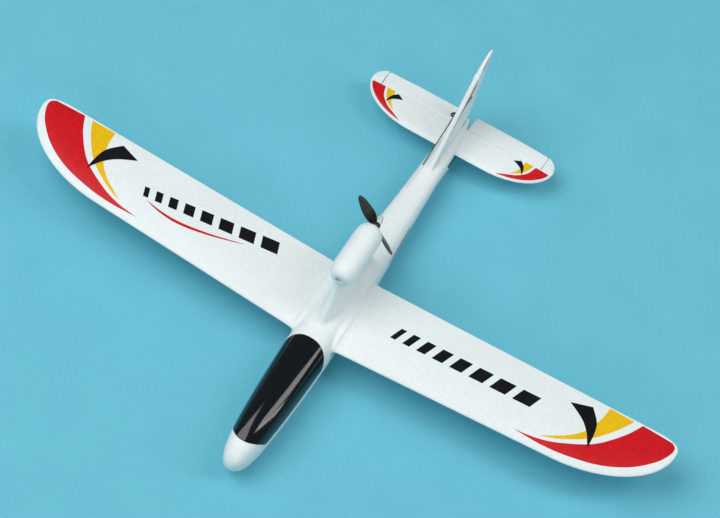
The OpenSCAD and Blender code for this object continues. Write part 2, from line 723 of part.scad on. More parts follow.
module motor_leads() {
    color("black")
    for (i = [-1, 0, 1])
        lead([
            [i * 2.6, wing_y + controller_y + controller_size[1] + seat, controller_z + lead_height],
            [i * 2.2, wing_y + controller_y + controller_size[1] + 5, controller_z + 5],
            [0, wing_y + wire_way_y + i * 1.7, spine(wire_way_y) - 18],
            [0, wing_y + wire_way_y + i * 1.7, spine(wire_way_y)],
            [0, wing_y + wire_way_y + i * 1.7, motor_height - bell_d / 2 - 0.2]], motor_lead_r);
}

// Servos stand side by side under the wing, with their shafts upright.
servo_x = servo_arm_radius + 4;
servo_y = 8;
servo_shaft_y = servo_y + 5;
servo_z = 13;
lug_z = servo_z + 0.72 * servo_height;
lug_reach = 4;
lug_t = 1.2;
arm_t = 1.5;
servo_boss_d = 6;
servo_boss_h = 1.2;
servo_shaft_d = 2.4;
servo_shaft_h = 2.6; // top of the case to the underside of the arm
arm_z = servo_z + servo_height + servo_shaft_h;
screw_d = 1.6;
module servo_case(side) {
    translate([side * servo_x, wing_y, 0]) {
        translate([-servo_width / 2, servo_y, servo_z])
            cube([servo_width, servo_length, servo_height]);
        difference() {
            translate([-servo_width / 2, servo_y - lug_reach, lug_z])
                cube([servo_width, servo_length + 2 * lug_reach, lug_t]);
            servo_screw_places()
                cylinder(d = screw_d + 2 * slip, h = 20, center = true);
        }
        translate([0, servo_shaft_y, servo_z + servo_height - cut]) {
            cylinder(d = servo_boss_d, h = cut + servo_boss_h);
            cylinder(d = servo_shaft_d, h = cut + servo_shaft_h + arm_t);
        }
    }
}
module servo_screw_places() {
    for (y = [servo_y - lug_reach / 2, servo_y + servo_length + lug_reach / 2])
        translate([0, y, lug_z + lug_t])
            children();
}
module elevator_servo() {
    color("mediumblue") servo_case(1);
}
module rudder_servo() {
    color("mediumblue") servo_case(-1);
}
module servo_screws() {
    color("silver")
    for (side = [-1, 1])
        translate([side * servo_x, wing_y, 0])
            servo_screw_places() {
                translate([0, 0, -lug_t - ply])
                    cylinder(d = screw_d, h = lug_t + ply + 0.5);
                cylinder(d = 2.8, h = 0.9);
            }
}
module servo_tray() {
    color("burlywood")
    difference() {
        tray_plate(servo_y - lug_reach - 2, servo_y + servo_length + lug_reach + 2, lug_z - ply);
        for (side = [-1, 1])
            translate([side * servo_x, wing_y, 0]) {
                translate([-servo_width / 2 - slip, servo_y - slip, 0])
                    cube([servo_width + 2 * slip, servo_length + 2 * slip, 60]);
                servo_screw_places()
                    cylinder(d = screw_d + 2 * slip, h = 20, center = true);
            }
    }
}
arm_boss_d = 5;
arm_w = 3.8;
arm_slot_w = 1.7;
arm_slot_back = -0.4; // the slot's end centres, from the arm's radius
arm_slot_reach = 1.2;
module servo_arm(side) {
    translate([side * servo_x, wing_y + servo_shaft_y, arm_z])
        linear_extrude(arm_t)
            difference() {
                union() {
                    circle(d = arm_boss_d);
                    translate([side > 0 ? -servo_arm_radius - arm_slot_reach : 0, -arm_w / 2])
                        square([servo_arm_radius + arm_slot_reach, arm_w]);
                    translate([-side * (servo_arm_radius + arm_slot_reach), 0])
                        circle(d = arm_w);
                }
                circle(d = servo_shaft_d + 2 * slip);
                translate([-side * (servo_arm_radius + (arm_slot_reach + arm_slot_back) / 2), 0])
                    square([arm_slot_reach - arm_slot_back, arm_slot_w], center = true);
                for (e = [arm_slot_back, arm_slot_reach])
                    translate([-side * (servo_arm_radius + e), 0])
                        circle(d = arm_slot_w);
            }
}
module elevator_servo_arm() {
    color("white") servo_arm(1);
}
module rudder_servo_arm() {
    color("white") servo_arm(-1);
}

// Pushrods: straight wires from the servo arms to the horns, each in a guide tube, with bent ends.
rod_start_x = servo_x - servo_arm_radius;
rod_drop = 1.6; // the wire runs this far under the arm
elevator_horn_x = 13;
rudder_horn_z = rudder_foot[1] + 5;
elevator_rod_a = [rod_start_x, wing_y + servo_shaft_y, arm_z - rod_drop];
elevator_rod_b = [elevator_horn_x - 1.8, wing_y + elevator_hinge, tail_height - horn_radius];
rudder_rod_a = [-rod_start_x, wing_y + servo_shaft_y, arm_z - rod_drop];
rudder_rod_b = [-horn_radius, wing_y + hinge_line(rudder_horn_z), rudder_horn_z - 2];
// Draws its children, which run along +Z from the origin, from a towards b.
module along(a, b) {
    d = b - a;
    translate(a)
        rotate([0, acos(d[2] / norm(d)), atan2(d[1], d[0])])
            children();
}
module wire(a, b) {
    along(a, b)
        translate([0, 0, -rod_d / 2])
            cylinder(d = rod_d, h = norm(b - a) + rod_d);
}
pin_up = 4.2;
pin_d = rod_d - 0.04;
module pin(length) {
    translate([0, 0, -rod_d / 2 + 0.06])
        cylinder(d = pin_d, h = length + rod_d / 2);
}
module elevator_pushrod() {
    color("black") {
        wire(elevator_rod_a, elevator_rod_b);
        translate(elevator_rod_a)
            pin(pin_up);
        translate(elevator_rod_b)
            rotate([0, 90, 0])
                pin(pin_up);
    }
}
module rudder_pushrod() {
    color("black") {
        wire(rudder_rod_a, rudder_rod_b);
        translate(rudder_rod_a)
            pin(pin_up);
        translate(rudder_rod_b)
            rotate([-lean_angle, 0, 0])
                pin(pin_up + 1);
    }
}
tube_start = 52;
elevator_tube_end = 0.755 * aft_length;
rudder_tube_end = 0.69 * aft_length;
function on_rod(a, b, d) = a + (b - a) * (wing_y + d - a[1]) / (b[1] - a[1]);
module guide_tube(a, b, d1, grow) {
    p = on_rod(a, b, tube_start);
    q = on_rod(a, b, d1);
    along(p, q)
        cylinder(d = tube_d + grow, h = norm(q - p));
}
module guide_bore(a, b, d1) {
    along(on_rod(a, b, tube_start - cut), b)
        cylinder(d = rod_d + 0.6, h = d1);
}
module elevator_guide_tube() {
    color("gold")
    difference() {
        guide_tube(elevator_rod_a, elevator_rod_b, elevator_tube_end, 0);
        guide_bore(elevator_rod_a, elevator_rod_b, aft_length);
    }
}
module rudder_guide_tube() {
    color("gold")
    difference() {
        guide_tube(rudder_rod_a, rudder_rod_b, rudder_tube_end, 0);
        guide_bore(rudder_rod_a, rudder_rod_b, aft_length);
    }
}
horn_slot_w = 2.3;
horn_t = 1.5;
// A control horn in its own plane: x runs along the surface, y away from it, the hinge at the origin.
module horn_shape(foot) {
    difference() {
        polygon([[-0.3, foot], [9, foot], [9, foot + 1], [2.6, horn_radius + 2.2], [0, horn_radius + 3.4],
            [-2.2, horn_radius + 2.2], [-2.2, horn_radius - 1.5]]);
        translate([0, horn_radius])
            square([horn_slot_w, 2.2], center = true);
        for (e = [-1.1, 1.1])
            translate([0, horn_radius + e])
                circle(d = horn_slot_w);
    }
}
module elevator_horn() {
    color("dimgray")
    translate([elevator_horn_x, wing_y + elevator_hinge, tail_height])
        rotate([90, 0, 90])
            mirror([0, 1, 0])
                linear_extrude(horn_t)
                    horn_shape(nose_r);
}
module rudder_horn() {
    color("dimgray")
    on_rudder_hinge()
        translate([0, 0, (rudder_horn_z - rudder_foot[1]) / cos(lean_angle)])
            rotate([0, 0, 90])
                linear_extrude(horn_t)
                    horn_shape(nose_r);
}

// The motor: a mount plate and stator in the pod, with the bell, shaft and propeller turning.
stator_d = 17;
stator_t = 3;
bell_length = 14;
bell_gap = 0.6;
bell_y = mount_y - stator_t - bell_gap - bell_length;
mount_screw_circle = 9;
hub_y = pod_rear + 2.5;
hub_length = 6;
spinner_length = 10;
module motor_mount() {
    color("dimgray")
    on_motor_axis()
        translate([0, 0, mount_y])
            difference() {
                cylinder(r = pod_bore - slip, h = mount_t - slip);
                translate([0, 0, -cut])
                    cylinder(d = 5, h = mount_t + 2 * cut);
                for (a = [45:90:315])
                    rotate([0, 0, a])
                        translate([mount_screw_circle / 2, 0, -cut])
                            cylinder(d = screw_d + 2 * slip, h = mount_t + 2 * cut);
            }
}
module motor_stator() {
    color("goldenrod")
    on_motor_axis()
        difference() {
            translate([0, 0, mount_y - stator_t])
                cylinder(d = stator_d, h = stator_t);
            translate([0, 0, mount_y - stator_t - cut])
                cylinder(d = shaft_d + 2 * slip, h = stator_t + 2 * cut);
            for (a = [45:90:315])
                rotate([0, 0, a])
                    translate([mount_screw_circle / 2, 0, mount_y - 2])
                        cylinder(d = screw_d + 2 * slip, h = 2 + cut);
        }
}
module motor_screws() {
    color("silver")
    on_motor_axis()
        for (a = [45:90:315])
            rotate([0, 0, a])
                translate([mount_screw_circle / 2, 0, mount_y - 1.8]) {
                    cylinder(d = screw_d, h = 1.8 + mount_t);
                    translate([0, 0, 1.8 + mount_t])
                        cylinder(d = 2.8, h = 0.9);
                }
}
module motor_bell() {
    color("slategray")
    on_motor_axis()
        difference() {
            translate([0, 0, bell_y])
                cylinder(d = bell_d, h = bell_length);
            translate([0, 0, bell_y + 1.5])
                cylinder(d = bell_d - 2.4, h = bell_length);
            translate([0, 0, bell_y - cut])
                cylinder(d = shaft_d + slip, h = 2 + cut);
            for (a = [0:60:300])
                rotate([0, 0, a])
                    translate([bell_d / 2 - 4, 0, bell_y - cut])
                        cylinder(d = 3, h = 2 + cut);
        }
}
module motor_windings() {
    color("peru")
    on_motor_axis()
        difference() {
            translate([0, 0, bell_y + 2.4])
                cylinder(d = bell_d - 3.4, h = bell_length + bell_gap - 2.4);
            translate([0, 0, bell_y])
                cylinder(d = shaft_d + 2 * slip, h = bell_length + stator_t);
        }
}
module motor_shaft() {
    color("silver")
    on_motor_axis()
        translate([0, 0, bell_y])
            cylinder(d = shaft_d, h = hub_y + hub_length + 4 - bell_y);
}
blade_steps = 9;
blade_pitch = 62;
blade_root = 3.2; // radius where a blade starts
blade_root_t = 1.5;
blade_tip_t = 0.6;
blade_end_chord = 4.5;
blade_swell = 7; // how much wider a blade is at its middle
blade_tip_cut = 0.62; // the last section is narrowed to round the tip
function blade_chord(s) = blade_end_chord + blade_swell * pow(sin(180 * pow(s, 0.8)), 0.9) + 0.5 * (1 - s);
function blade_ring(s) =
    let(r = blade_root + (prop_d / 2 - blade_root) * s, c = blade_chord(s) * (s > 0.95 ? blade_tip_cut : 1),
        t = blade_root_t + (blade_tip_t - blade_root_t) * s,
        a = -atan(blade_pitch / (2 * PI * (r + 4))))
    [for (i = [0:7]) let(x = c / 2 * cos(45 * i), y = t / 2 * sin(45 * i))
        [x * cos(a) - y * sin(a), r, x * sin(a) + y * cos(a)]];
blade_hub_d = 8;
blade_hub_t = 4;
module propeller_blades() {
    color("black")
    on_motor_axis()
        translate([0, 0, hub_y + hub_length / 2])
            rotate([0, 0, -prop_rest])
                difference() {
                    union() {
                        for (a = [0, 180])
                            rotate([0, 0, a])
                                loft([for (i = [blade_steps:-1:0]) blade_ring(i / blade_steps)]);
                        cylinder(d = blade_hub_d, h = blade_hub_t, center = true);
                    }
                    cylinder(d = shaft_d + slip, h = 20, center = true);
                }
}
module prop_hub() {
    color("whitesmoke")
    on_motor_axis()
        translate([0, 0, hub_y - 1.5])
            difference() {
                cylinder(d = 7, h = 1.5 + hub_length / 2 - blade_hub_t / 2);
                translate([0, 0, -cut])
                    cylinder(d = shaft_d + slip, h = 10);
            }
}
module spinner() {
    color("whitesmoke")
    on_motor_axis()
        translate([0, 0, hub_y + hub_length / 2 + blade_hub_t / 2])
            difference() {
                rotate_extrude()
                    polygon([[0, 0], [3.6, 0], [3.3, 3], [2.6, 6], [1.6, 8.6], [0, spinner_length]]);
                translate([0, 0, -cut])
                    cylinder(d = shaft_d + slip, h = 6.4);
            }
}

// The body halves, with the seats for wing, fin, tailplane, pylon and guide tubes.
module fuselage_half(side) {
    difference() {
        union() {
            body_half();
            wing_seat();
            difference() {
                pylon_half();
                pod_body(slip);
            }
        }
        along_spar(far, spar_d + 2 * slip);
        wire_way_cut();
        // slot for the tailplane, open to the sides
        translate([-cut, wing_y + tail_front - slip, tail_height - tail_thickness / 2 - slip])
            cube([60, elevator_cut - tail_front + 2 * slip, tail_thickness + 2 * slip]);
        // slot for the fin, open at the top
        translate([-cut, wing_y + rudder_foot[0] + fin_tongue[0] - slip, fin_base - slip])
            cube([cut + tail_thickness / 2 + slip, 120, 40]);
        // gap for the elevator's round front, and the bore of its joiner
        translate([-cut, wing_y + elevator_hinge, tail_height])
            rotate([0, 90, 0])
                cylinder(d = hinge_wire_d + 2 * slip, h = 60);
        translate([-cut, wing_y + elevator_cut, tail_height - 20])
            translate([elevator_root_x - seat + cut, 0, 0])
                cube([20, 40, 40]);
        rudder_wire_hole();
        if (side > 0)
            guide_tube(elevator_rod_a, elevator_rod_b, elevator_tube_end + 40, 2 * slip);
        else
            mirror([1, 0, 0]) guide_tube(rudder_rod_a, rudder_rod_b, rudder_tube_end + 40, 2 * slip);
    }
}
module fuselage_left() {
    color("white") fuselage_half(1);
}
module fuselage_right() {
    color("white") mirror([1, 0, 0]) fuselage_half(-1);
}

module belly_skid() {
    color("gainsboro")
    translate([0, wing_y, 0])
        linear_extrude(skid_thickness)
            rounded_strip(skid_width, -58, -58 + skid_length);
}
module rounded_strip(w, a, b) {
    translate([-w / 2, a + w / 2])
        square([w, b - a - w]);
    for (y = [a + w / 2, b - w / 2])
        translate([0, y])
            circle(d = w);
}

// The hatch: a thin canopy over the opening, held by a magnet at each end.
canopy_rings = concat([for (i = [0:6]) hatch_front + hatch_gap + 0.35 + hatch_corner_front * pow(i / 6, 1.3)],
    cabin_rings, [for (i = [6:-1:0]) hatch_rear - hatch_gap - 0.35 - hatch_corner_rear * pow(i / 6, 1.3)]);
canopy_steps = 16;
side_gap = 2; // degrees: on the sides the canopy comes down this close to the opening's edge
function canopy_angle(d) =
    min(hatch_angle(d, hatch_gap), side_gap + 180 - asin(pow(min(hatch_share(d, hatch_gap), 0.999), roundness / 2)));
function canopy_ring(d) =
    let(t0 = canopy_angle(d))
    concat(
        [for (i = [0:canopy_steps]) let(t = t0 + (360 - 2 * t0) * i / canopy_steps, p = section_point(d, t, 0))
            [t > 180 ? -p[0] : p[0], p[1], p[2]]],
        [for (i = [canopy_steps:-1:0]) let(t = t0 + (360 - 2 * t0) * i / canopy_steps,
            p = section_point(d, t, canopy_wall)) [t > 180 ? -p[0] : p[0], p[1], p[2]]]);
module canopy_shell() {
    rings = [for (d = canopy_rings) canopy_ring(d)];
    n = len(rings);
    m = len(rings[0]);
    h = canopy_steps;
    color([0.06, 0.06, 0.07])
    polyhedron(
        points = [for (r = rings) each r],
        faces = concat(
            [for (i = [0:h - 1]) [i, i + 1, m - 2 - i, m - 1 - i]],
            [for (i = [0:h - 1]) let(e = (n - 1) * m) [e + m - 1 - i, e + m - 2 - i, e + i + 1, e + i]],
            [for (r = [0:n - 2]) for (i = [0:m - 1]) each
                [[r * m + i, (r + 1) * m + i, (r + 1) * m + (i + 1) % m],
                 [r * m + i, (r + 1) * m + (i + 1) % m, r * m + (i + 1) % m]]]));
}
hatch_magnet_ys = [hatch_front + 10, hatch_rear - 8];
magnet_z = 27;
post_d = 7;
former_t = 6;
lead_notch = [5.5, 5]; // room beside and over the supply leads
module canopy_posts() {
    color("white")
    for (d = hatch_magnet_ys)
        translate([0, wing_y + d, magnet_z + seat])
            difference() {
                cylinder(d = post_d, h = spine(d - post_d / 2) - canopy_wall - magnet_z - 3 * seat);
                translate([0, 0, -cut])
                    cylinder(d = magnet_d + 2 * slip, h = magnet_t + cut);
            }
}
module canopy_magnets() {
    color("silver")
    for (d = hatch_magnet_ys)
        translate([0, wing_y + d, magnet_z + seat])
            cylinder(d = magnet_d, h = magnet_t);
}
module hatch_magnets() {
    color("silver")
    for (d = hatch_magnet_ys)
        translate([0, wing_y + d, magnet_z - magnet_t])
            cylinder(d = magnet_d, h = magnet_t);
}
// A former fills the body's section from the keel up to the magnet.
module former(d) {
    a = d - former_t / 2;
    b = d + former_t / 2;
    end = half_width(a) < half_width(b) ? a : b;
    top = (keel(end) + spine(end)) / 2 + 2;
    difference() {
        translate([0, wing_y + b, 0])
            rotate([90, 0, 0])
                linear_extrude(former_t)
                    polygon(concat(
                        [for (t = [-90:15:90]) let(p = section_point(end, abs(t), foam_wall + seat))
                            [sign(t) * p[0], p[2]]],
                        [[width_at(end, magnet_z, foam_wall + seat), magnet_z],
                         [-width_at(end, magnet_z, foam_wall + seat), magnet_z]]));
        translate([0, wing_y + d, magnet_z - magnet_t - slip])
            cylinder(d = magnet_d + 2 * slip, h = magnet_t + 1);
    }
}
module front_former() {
    color("white") former(hatch_magnet_ys[0]);
}
module rear_former() {
    color("white")
    difference() {
        former(hatch_magnet_ys[1]);
        // way for the supply leads
        translate([-lead_notch[0] / 2, wing_y + hatch_magnet_ys[1] - former_t, 0])
            cube([plug_x + lead_notch[0], 2 * former_t, floor_z + ply + lead_notch[1]]);
    }
}

fuselage_left();
fuselage_right();
belly_skid();
canopy_shell();
canopy_posts();
canopy_magnets();
hatch_magnets();
front_former();
rear_former();
battery_tray();
battery();
battery_strap();
battery_plug();
battery_leads();
supply_leads();
receiver();
speed_controller();
motor_leads();
servo_tray();
elevator_servo();
rudder_servo();
servo_screws();
elevator_servo_arm();
rudder_servo_arm();
elevator_pushrod();
rudder_pushrod();
elevator_guide_tube();
rudder_guide_tube();
wing_left();
wing_right();
wing_spar_left();
wing_spar_right();
wing_joiner();
pod_left();
pod_right();
motor_mount();
motor_stator();
motor_windings();
motor_screws();
motor_bell();
motor_shaft();
propeller_blades();
prop_hub();
spinner();
stabilizer();
elevator_left();
elevator_right();
elevator_joiner();
elevator_hinges();
elevator_horn();
fin();
rudder();
rudder_hinge_wire();
rudder_hinges();
rudder_horn();
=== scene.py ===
"""Looks of a foam electric glider: moulded bead foam, a gloss black canopy, printed wing tips.

Sizes are in millimetres. Places along the body are distances behind the wing's leading edge at
the root, as in the CAD source. +X is the left (port) wing, +Y runs aft and +Z is up.
"""

import json
import math

import bmesh
import bpy
from mathutils import Matrix, Vector


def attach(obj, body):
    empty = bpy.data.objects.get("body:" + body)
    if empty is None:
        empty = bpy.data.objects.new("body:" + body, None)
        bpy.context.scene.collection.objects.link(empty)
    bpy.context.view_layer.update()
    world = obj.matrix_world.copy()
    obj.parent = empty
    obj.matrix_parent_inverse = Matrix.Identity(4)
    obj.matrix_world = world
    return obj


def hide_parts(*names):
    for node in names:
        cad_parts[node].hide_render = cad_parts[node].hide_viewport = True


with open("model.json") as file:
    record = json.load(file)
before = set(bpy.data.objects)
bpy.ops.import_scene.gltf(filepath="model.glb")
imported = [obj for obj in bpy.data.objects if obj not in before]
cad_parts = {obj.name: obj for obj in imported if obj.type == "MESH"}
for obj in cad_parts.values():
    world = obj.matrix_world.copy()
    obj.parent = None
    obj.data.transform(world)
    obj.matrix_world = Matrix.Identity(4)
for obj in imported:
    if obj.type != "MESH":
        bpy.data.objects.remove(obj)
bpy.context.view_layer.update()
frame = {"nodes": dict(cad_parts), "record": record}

MM = 0.001
SIDES = (("left", 1), ("right", -1))

# ---------------------------------------------------------------- sizes, as in the CAD source
NOSE_LENGTH = 142.5
AFT_LENGTH = 317.0
CABIN_HALF_WIDTH = 21.0
CABIN_HEIGHT = 48.7
FOAM_WALL = 4.0
SKID = 1.3
ROUNDNESS = 2.5
WING_Y = (NOSE_LENGTH - AFT_LENGTH) / 2

WING_END = 329.0  # the CAD wing's last section, where the rounded tip closes here
ROOT_CHORD = 81.0
WING_HEIGHT = 36.0
DIHEDRAL = math.tan(math.radians(1.8))
THICKNESS_RATIO = 0.09
TIP_LENGTH = 94.0
TIP_SWEEP = 57.0
TIP_REAR_LENGTH = 30.0
LEADING_SWEEP = 0.046
TRAILING_SWEEP = 0.012
WING_EDGE = 0.6
PLAN_FLARE = 0.35  # share of the root's swelling that shows at the wing's edges
WING_ROOT_X = CABIN_HALF_WIDTH + 0.6
ROOT_SEAM = 0.02

HATCH_FRONT = -122.0
HATCH_REAR = -5.0
HATCH_CORNER_FRONT = 16.0
HATCH_CORNER_REAR = 13.0
HATCH_ROUNDNESS = 2.2
HATCH_GAP = 0.45
CANOPY_WALL = 1.2
CANOPY_SIDE_GAP = 2.0

MOTOR_HEIGHT = 96.0
POD_RADIUS = 12.8
POD_FRONT = 33.0
POD_REAR = 95.0
POD_NOSE = 17.0
POD_TAIL = 11.0
POD_MOUTH = 3.2
POD_MOUTH_DEPTH = 8.0
POD_EXIT = 6.5
POD_LIP = 2.0
POD_WALL = 2.0
MOUNT_REAR = 90.4
PYLON_BASE = SKID + 0.87 * CABIN_HEIGHT
PYLON_TOP = MOTOR_HEIGHT - 3
WIRE_WAY = (3.4, 5.4, 85.6)

PROP_D = 77.0
PROP_REST = 33.0
PROP_PLACE = 100.5
SHAFT_D = 2.0

TAIL_HALF = 97.4
TAIL_CHORD = 48.0
TAIL_REAR = AFT_LENGTH - 17
TAIL_FRONT = TAIL_REAR - TAIL_CHORD
TAIL_HEIGHT = 24.0
TAIL_THICKNESS = 5.0
TAIL_TIP_LENGTH = 58.0
TAIL_TIP_REAR = 18.0
TAIL_TIP_SWEEP = 0.69 * TAIL_CHORD
ELEVATOR_HINGE = TAIL_REAR - 16
NOSE_R = TAIL_THICKNESS / 2 - 0.2
ELEVATOR_CUT = ELEVATOR_HINGE - NOSE_R - 0.5
ELEVATOR_ROOT = 7.2
TIP_CUT = 86.24
ELEVATOR_TAPER = 16.0
RUDDER_TAPER = 26.0
REAR_HALF = 0.5  # half thickness of elevator and rudder at the rear
SEAT = 0.3
SLIP = 0.1

FOOT_D = 0.882 * AFT_LENGTH
FOOT_Z = SKID + 0.63 * CABIN_HEIGHT + 0.6
FIN_TOP = 113.0
FIN_RISE = FIN_TOP - FOOT_Z
HINGE_LEAN = 17 / 82
FIN_SHARE = 0.82
FIN_BACK = NOSE_R + 0.5
FIN_BASE = TAIL_HEIGHT + TAIL_THICKNESS / 2 + SEAT
FIN_FOOT = (FOOT_D - 68, FOOT_D - 5)

TUBE_D = 2.6
TUBE_START = 52.0
ROD_HEIGHT = 28.0
ELEVATOR_ROD = ((4.0, 13.0, ROD_HEIGHT), (11.2, ELEVATOR_HINGE, TAIL_HEIGHT - 9))
RUDDER_ROD = ((-4.0, 13.0, ROD_HEIGHT), (-9.0, FOOT_D + 5 * HINGE_LEAN, FOOT_Z + 3))

NOSE_LINES = [(-1, 0.07, 0.41, 0.49), (-0.986, 0.27, 0.30, 0.60), (-0.951, 0.46, 0.18, 0.71),
              (-0.889, 0.62, 0.10, 0.80), (-0.778, 0.755, 0.05, 0.88), (-0.59, 0.87, 0.02, 0.94),
              (-0.347, 0.955, 0, 0.98), (-0.07, 1, 0, 1)]
TAIL_LINES = [(0.095, 1, 0, 1), (0.196, 0.965, 0.01, 0.985), (0.315, 0.86, 0.085, 0.9),
              (0.442, 0.74, 0.18, 0.785), (0.568, 0.635, 0.24, 0.715), (0.694, 0.55, 0.285, 0.67),
              (0.795, 0.47, 0.30, 0.64), (0.883, 0.32, 0.31, 0.62), (0.924, 0.17, 0.34, 0.605)]
BODY_LINES = ([(s[0] * NOSE_LENGTH,) + s[1:] for s in NOSE_LINES]
              + [(s[0] * AFT_LENGTH,) + s[1:] for s in TAIL_LINES])
PYLON_LINES = [(0, 2, 113, 13), (0.12, 8, 101.5, 10.5), (0.35, 18, 97, 8.5), (0.6, 27, 96.5, 8.5),
               (0.8, 32, 96, 10), (1, 35, 94.5, 12.2)]
FIN_FRONT = [(-0.06, -70), (0.12, -53), (0.58, -14), (0.77, 3), (0.89, 15), (0.96, 24), (0.995, 31)]
RUDDER_REAR = [(0, 15.5), (0.05, 17.5), (0.5, 29.5), (0.7, 33), (0.92, 37.4), (0.98, 37), (0.998, 33)]


# ---------------------------------------------------------------- lines of the shape
def curve(x, table, column):
    """A smooth curve through the rows of a table, read in one column."""
    last = len(table) - 2
    i = 0
    while i < last and x >= table[i + 1][0]:
        i += 1

    def slope(k):
        a, b = max(k - 1, 0), min(k + 1, len(table) - 1)
        return (table[b][column] - table[a][column]) / (table[b][0] - table[a][0])

    h = table[i + 1][0] - table[i][0]
    s = (x - table[i][0]) / h
    a, b = table[i][column], table[i + 1][column]
    return (a * (1 + 2 * s) * (1 - s) ** 2 + slope(i) * h * s * (1 - s) ** 2
            + b * s * s * (3 - 2 * s) + slope(i + 1) * h * s * s * (s - 1))


def half_width(d):
    return CABIN_HALF_WIDTH * curve(d, BODY_LINES, 1)


def keel(d):
    return SKID + CABIN_HEIGHT * max(curve(d, BODY_LINES, 2), 0)


def spine(d):
    return SKID + CABIN_HEIGHT * curve(d, BODY_LINES, 3)


def power(v, p):
    return math.copysign(abs(v) ** p, v)


def section_point(d, degrees, inset=0.0):
    """A point of the body's section, at an angle counted from the keel."""
    t = math.radians(degrees)
    w = max(half_width(d) - inset, 0.8)
    h = max((spine(d) - keel(d)) / 2 - inset, 0.8)
    return (w * power(math.sin(t), 2 / ROUNDNESS), d,
            (keel(d) + spine(d)) / 2 - h * power(math.cos(t), 2 / ROUNDNESS))


def hatch_angle(d, gap=0.0, side_gap=None):
    """Where the hatch's edge is on the section, as an angle from the keel; 180 is no hatch. The gap
    is measured in plan, or, on the steep sides, is no more than side_gap in degrees."""
    m = min((d - HATCH_FRONT - gap) / HATCH_CORNER_FRONT, (HATCH_REAR - gap - d) / HATCH_CORNER_REAR)
    m = min(max(m, 0), 1)
    share = min((1 - (1 - m) ** HATCH_ROUNDNESS) ** (1 / HATCH_ROUNDNESS), 0.999)
    k = share - gap / half_width(d)
    angle = 180 if k <= 0 else 180 - math.degrees(math.asin(k ** (ROUNDNESS / 2)))
    if side_gap is None:
        return angle
    return min(angle, side_gap + 180 - math.degrees(math.asin(share ** (ROUNDNESS / 2))))


def wing_front(x):
    u = max((x - WING_END + TIP_LENGTH) / TIP_LENGTH, 0)
    return LEADING_SWEEP * x + TIP_SWEEP * (1 - math.sqrt(max(1 - u * u, 0)))


def wing_rear(x):
    u = max((x - WING_END + TIP_REAR_LENGTH) / TIP_REAR_LENGTH, 0)
    mid = wing_front(WING_END)
    straight = ROOT_CHORD + TRAILING_SWEEP * x
    return mid + (straight - mid) * max(1 - u ** 3, 0) ** (1 / 3)


def section_thickness(s):
    s = max(s, 0)
    return 5 * (0.2969 * math.sqrt(s) - 0.126 * s - 0.3516 * s ** 2 + 0.2843 * s ** 3 - 0.1036 * s ** 4)


def camber(s):
    p = 0.4
    return 0.02 * (2 * p * s - s * s + (0 if s < p else 1 - 2 * p)) / (p if s < p else 1 - p) ** 2


def wing_point(x, s, side, flare=0.0):
    """A point of the wing at distance x: s runs from front to rear, side is 1 on top, -1 below."""
    a = wing_front(x)
    c = wing_rear(x) - a
    bulge = flare * (1 - abs(2 * s - 1) ** 6) ** 0.5
    z = (WING_HEIGHT + x * DIHEDRAL
         + c * (camber(s) + side * THICKNESS_RATIO * section_thickness(s))
         + side * (WING_EDGE / 2 * s * min(c / 20, 1) + bulge))
    return (x, a - PLAN_FLARE * flare + (c + 2 * PLAN_FLARE * flare) * s, z)


def wing_top(x, d):
    """Height of the wing's upper face over a place in plan."""
    x = abs(x)
    a = wing_front(x)
    s = min(max((d - a) / max(wing_rear(x) - a, 0.5), 0), 1)
    return wing_point(x, s, 1)[2]


def tail_front(x):
    u = max((abs(x) - TAIL_HALF + TAIL_TIP_LENGTH) / TAIL_TIP_LENGTH, 0)
    return TAIL_FRONT + TAIL_TIP_SWEEP * (1 - math.sqrt(max(1 - u * u, 0)))


def tail_rear(x):
    u = max((abs(x) - TAIL_HALF + TAIL_TIP_REAR) / TAIL_TIP_REAR, 0)
    mid = tail_front(TAIL_HALF)
    return mid + (TAIL_REAR - mid) * math.sqrt(max(1 - u * u, 0))


def tail_point(x, s, side):
    a = tail_front(x)
    c = tail_rear(x) - a
    thin = min(1, math.sqrt(max(TAIL_HALF - abs(x), 0) / 10) * 0.9 + 0.1)
    shape = min(math.sin(math.pi / 2 * min(s / 0.12, 1)) ** 0.8, (1 - s) / 0.32 * 0.75 + 0.25)
    return (x, a + c * s, TAIL_HEIGHT + side * TAIL_THICKNESS / 2 * thin * shape)


def tail_top(x, d):
    a = tail_front(x)
    return tail_point(x, min(max((d - a) / max(tail_rear(x) - a, 0.5), 0), 1), 1)[2]


def hinge_line(z):
    return FOOT_D + (z - FOOT_Z) * HINGE_LEAN


def at_rise(k):
    return FOOT_Z + FIN_RISE * k


def fin_front_line(start=-0.05, end=FIN_SHARE, count=40):
    """The front edge of the fin, as (distance, height) pairs going up."""
    return [(max(FOOT_D + curve(k, FIN_FRONT, 1), FIN_FOOT[0]), at_rise(k))
            for k in [start + (end - start) * i / count for i in range(count + 1)]]


# ---------------------------------------------------------------- mesh building
def to_row(p):
    """(across, distance behind the wing's leading edge, up) in mm, as a place in the row frame."""
    return (p[0] * MM, (WING_Y + p[1]) * MM, p[2] * MM)


def object_of(name, points, faces):
    mesh = bpy.data.meshes.new(name)
    mesh.from_pydata([to_row(p) for p in points], [], faces)
    bm = bmesh.new()
    bm.from_mesh(mesh)
    bmesh.ops.recalc_face_normals(bm, faces=bm.faces)
    bm.to_mesh(mesh)
    bm.free()
    obj = bpy.data.objects.new(name, mesh)
    bpy.context.scene.collection.objects.link(obj)
    return obj


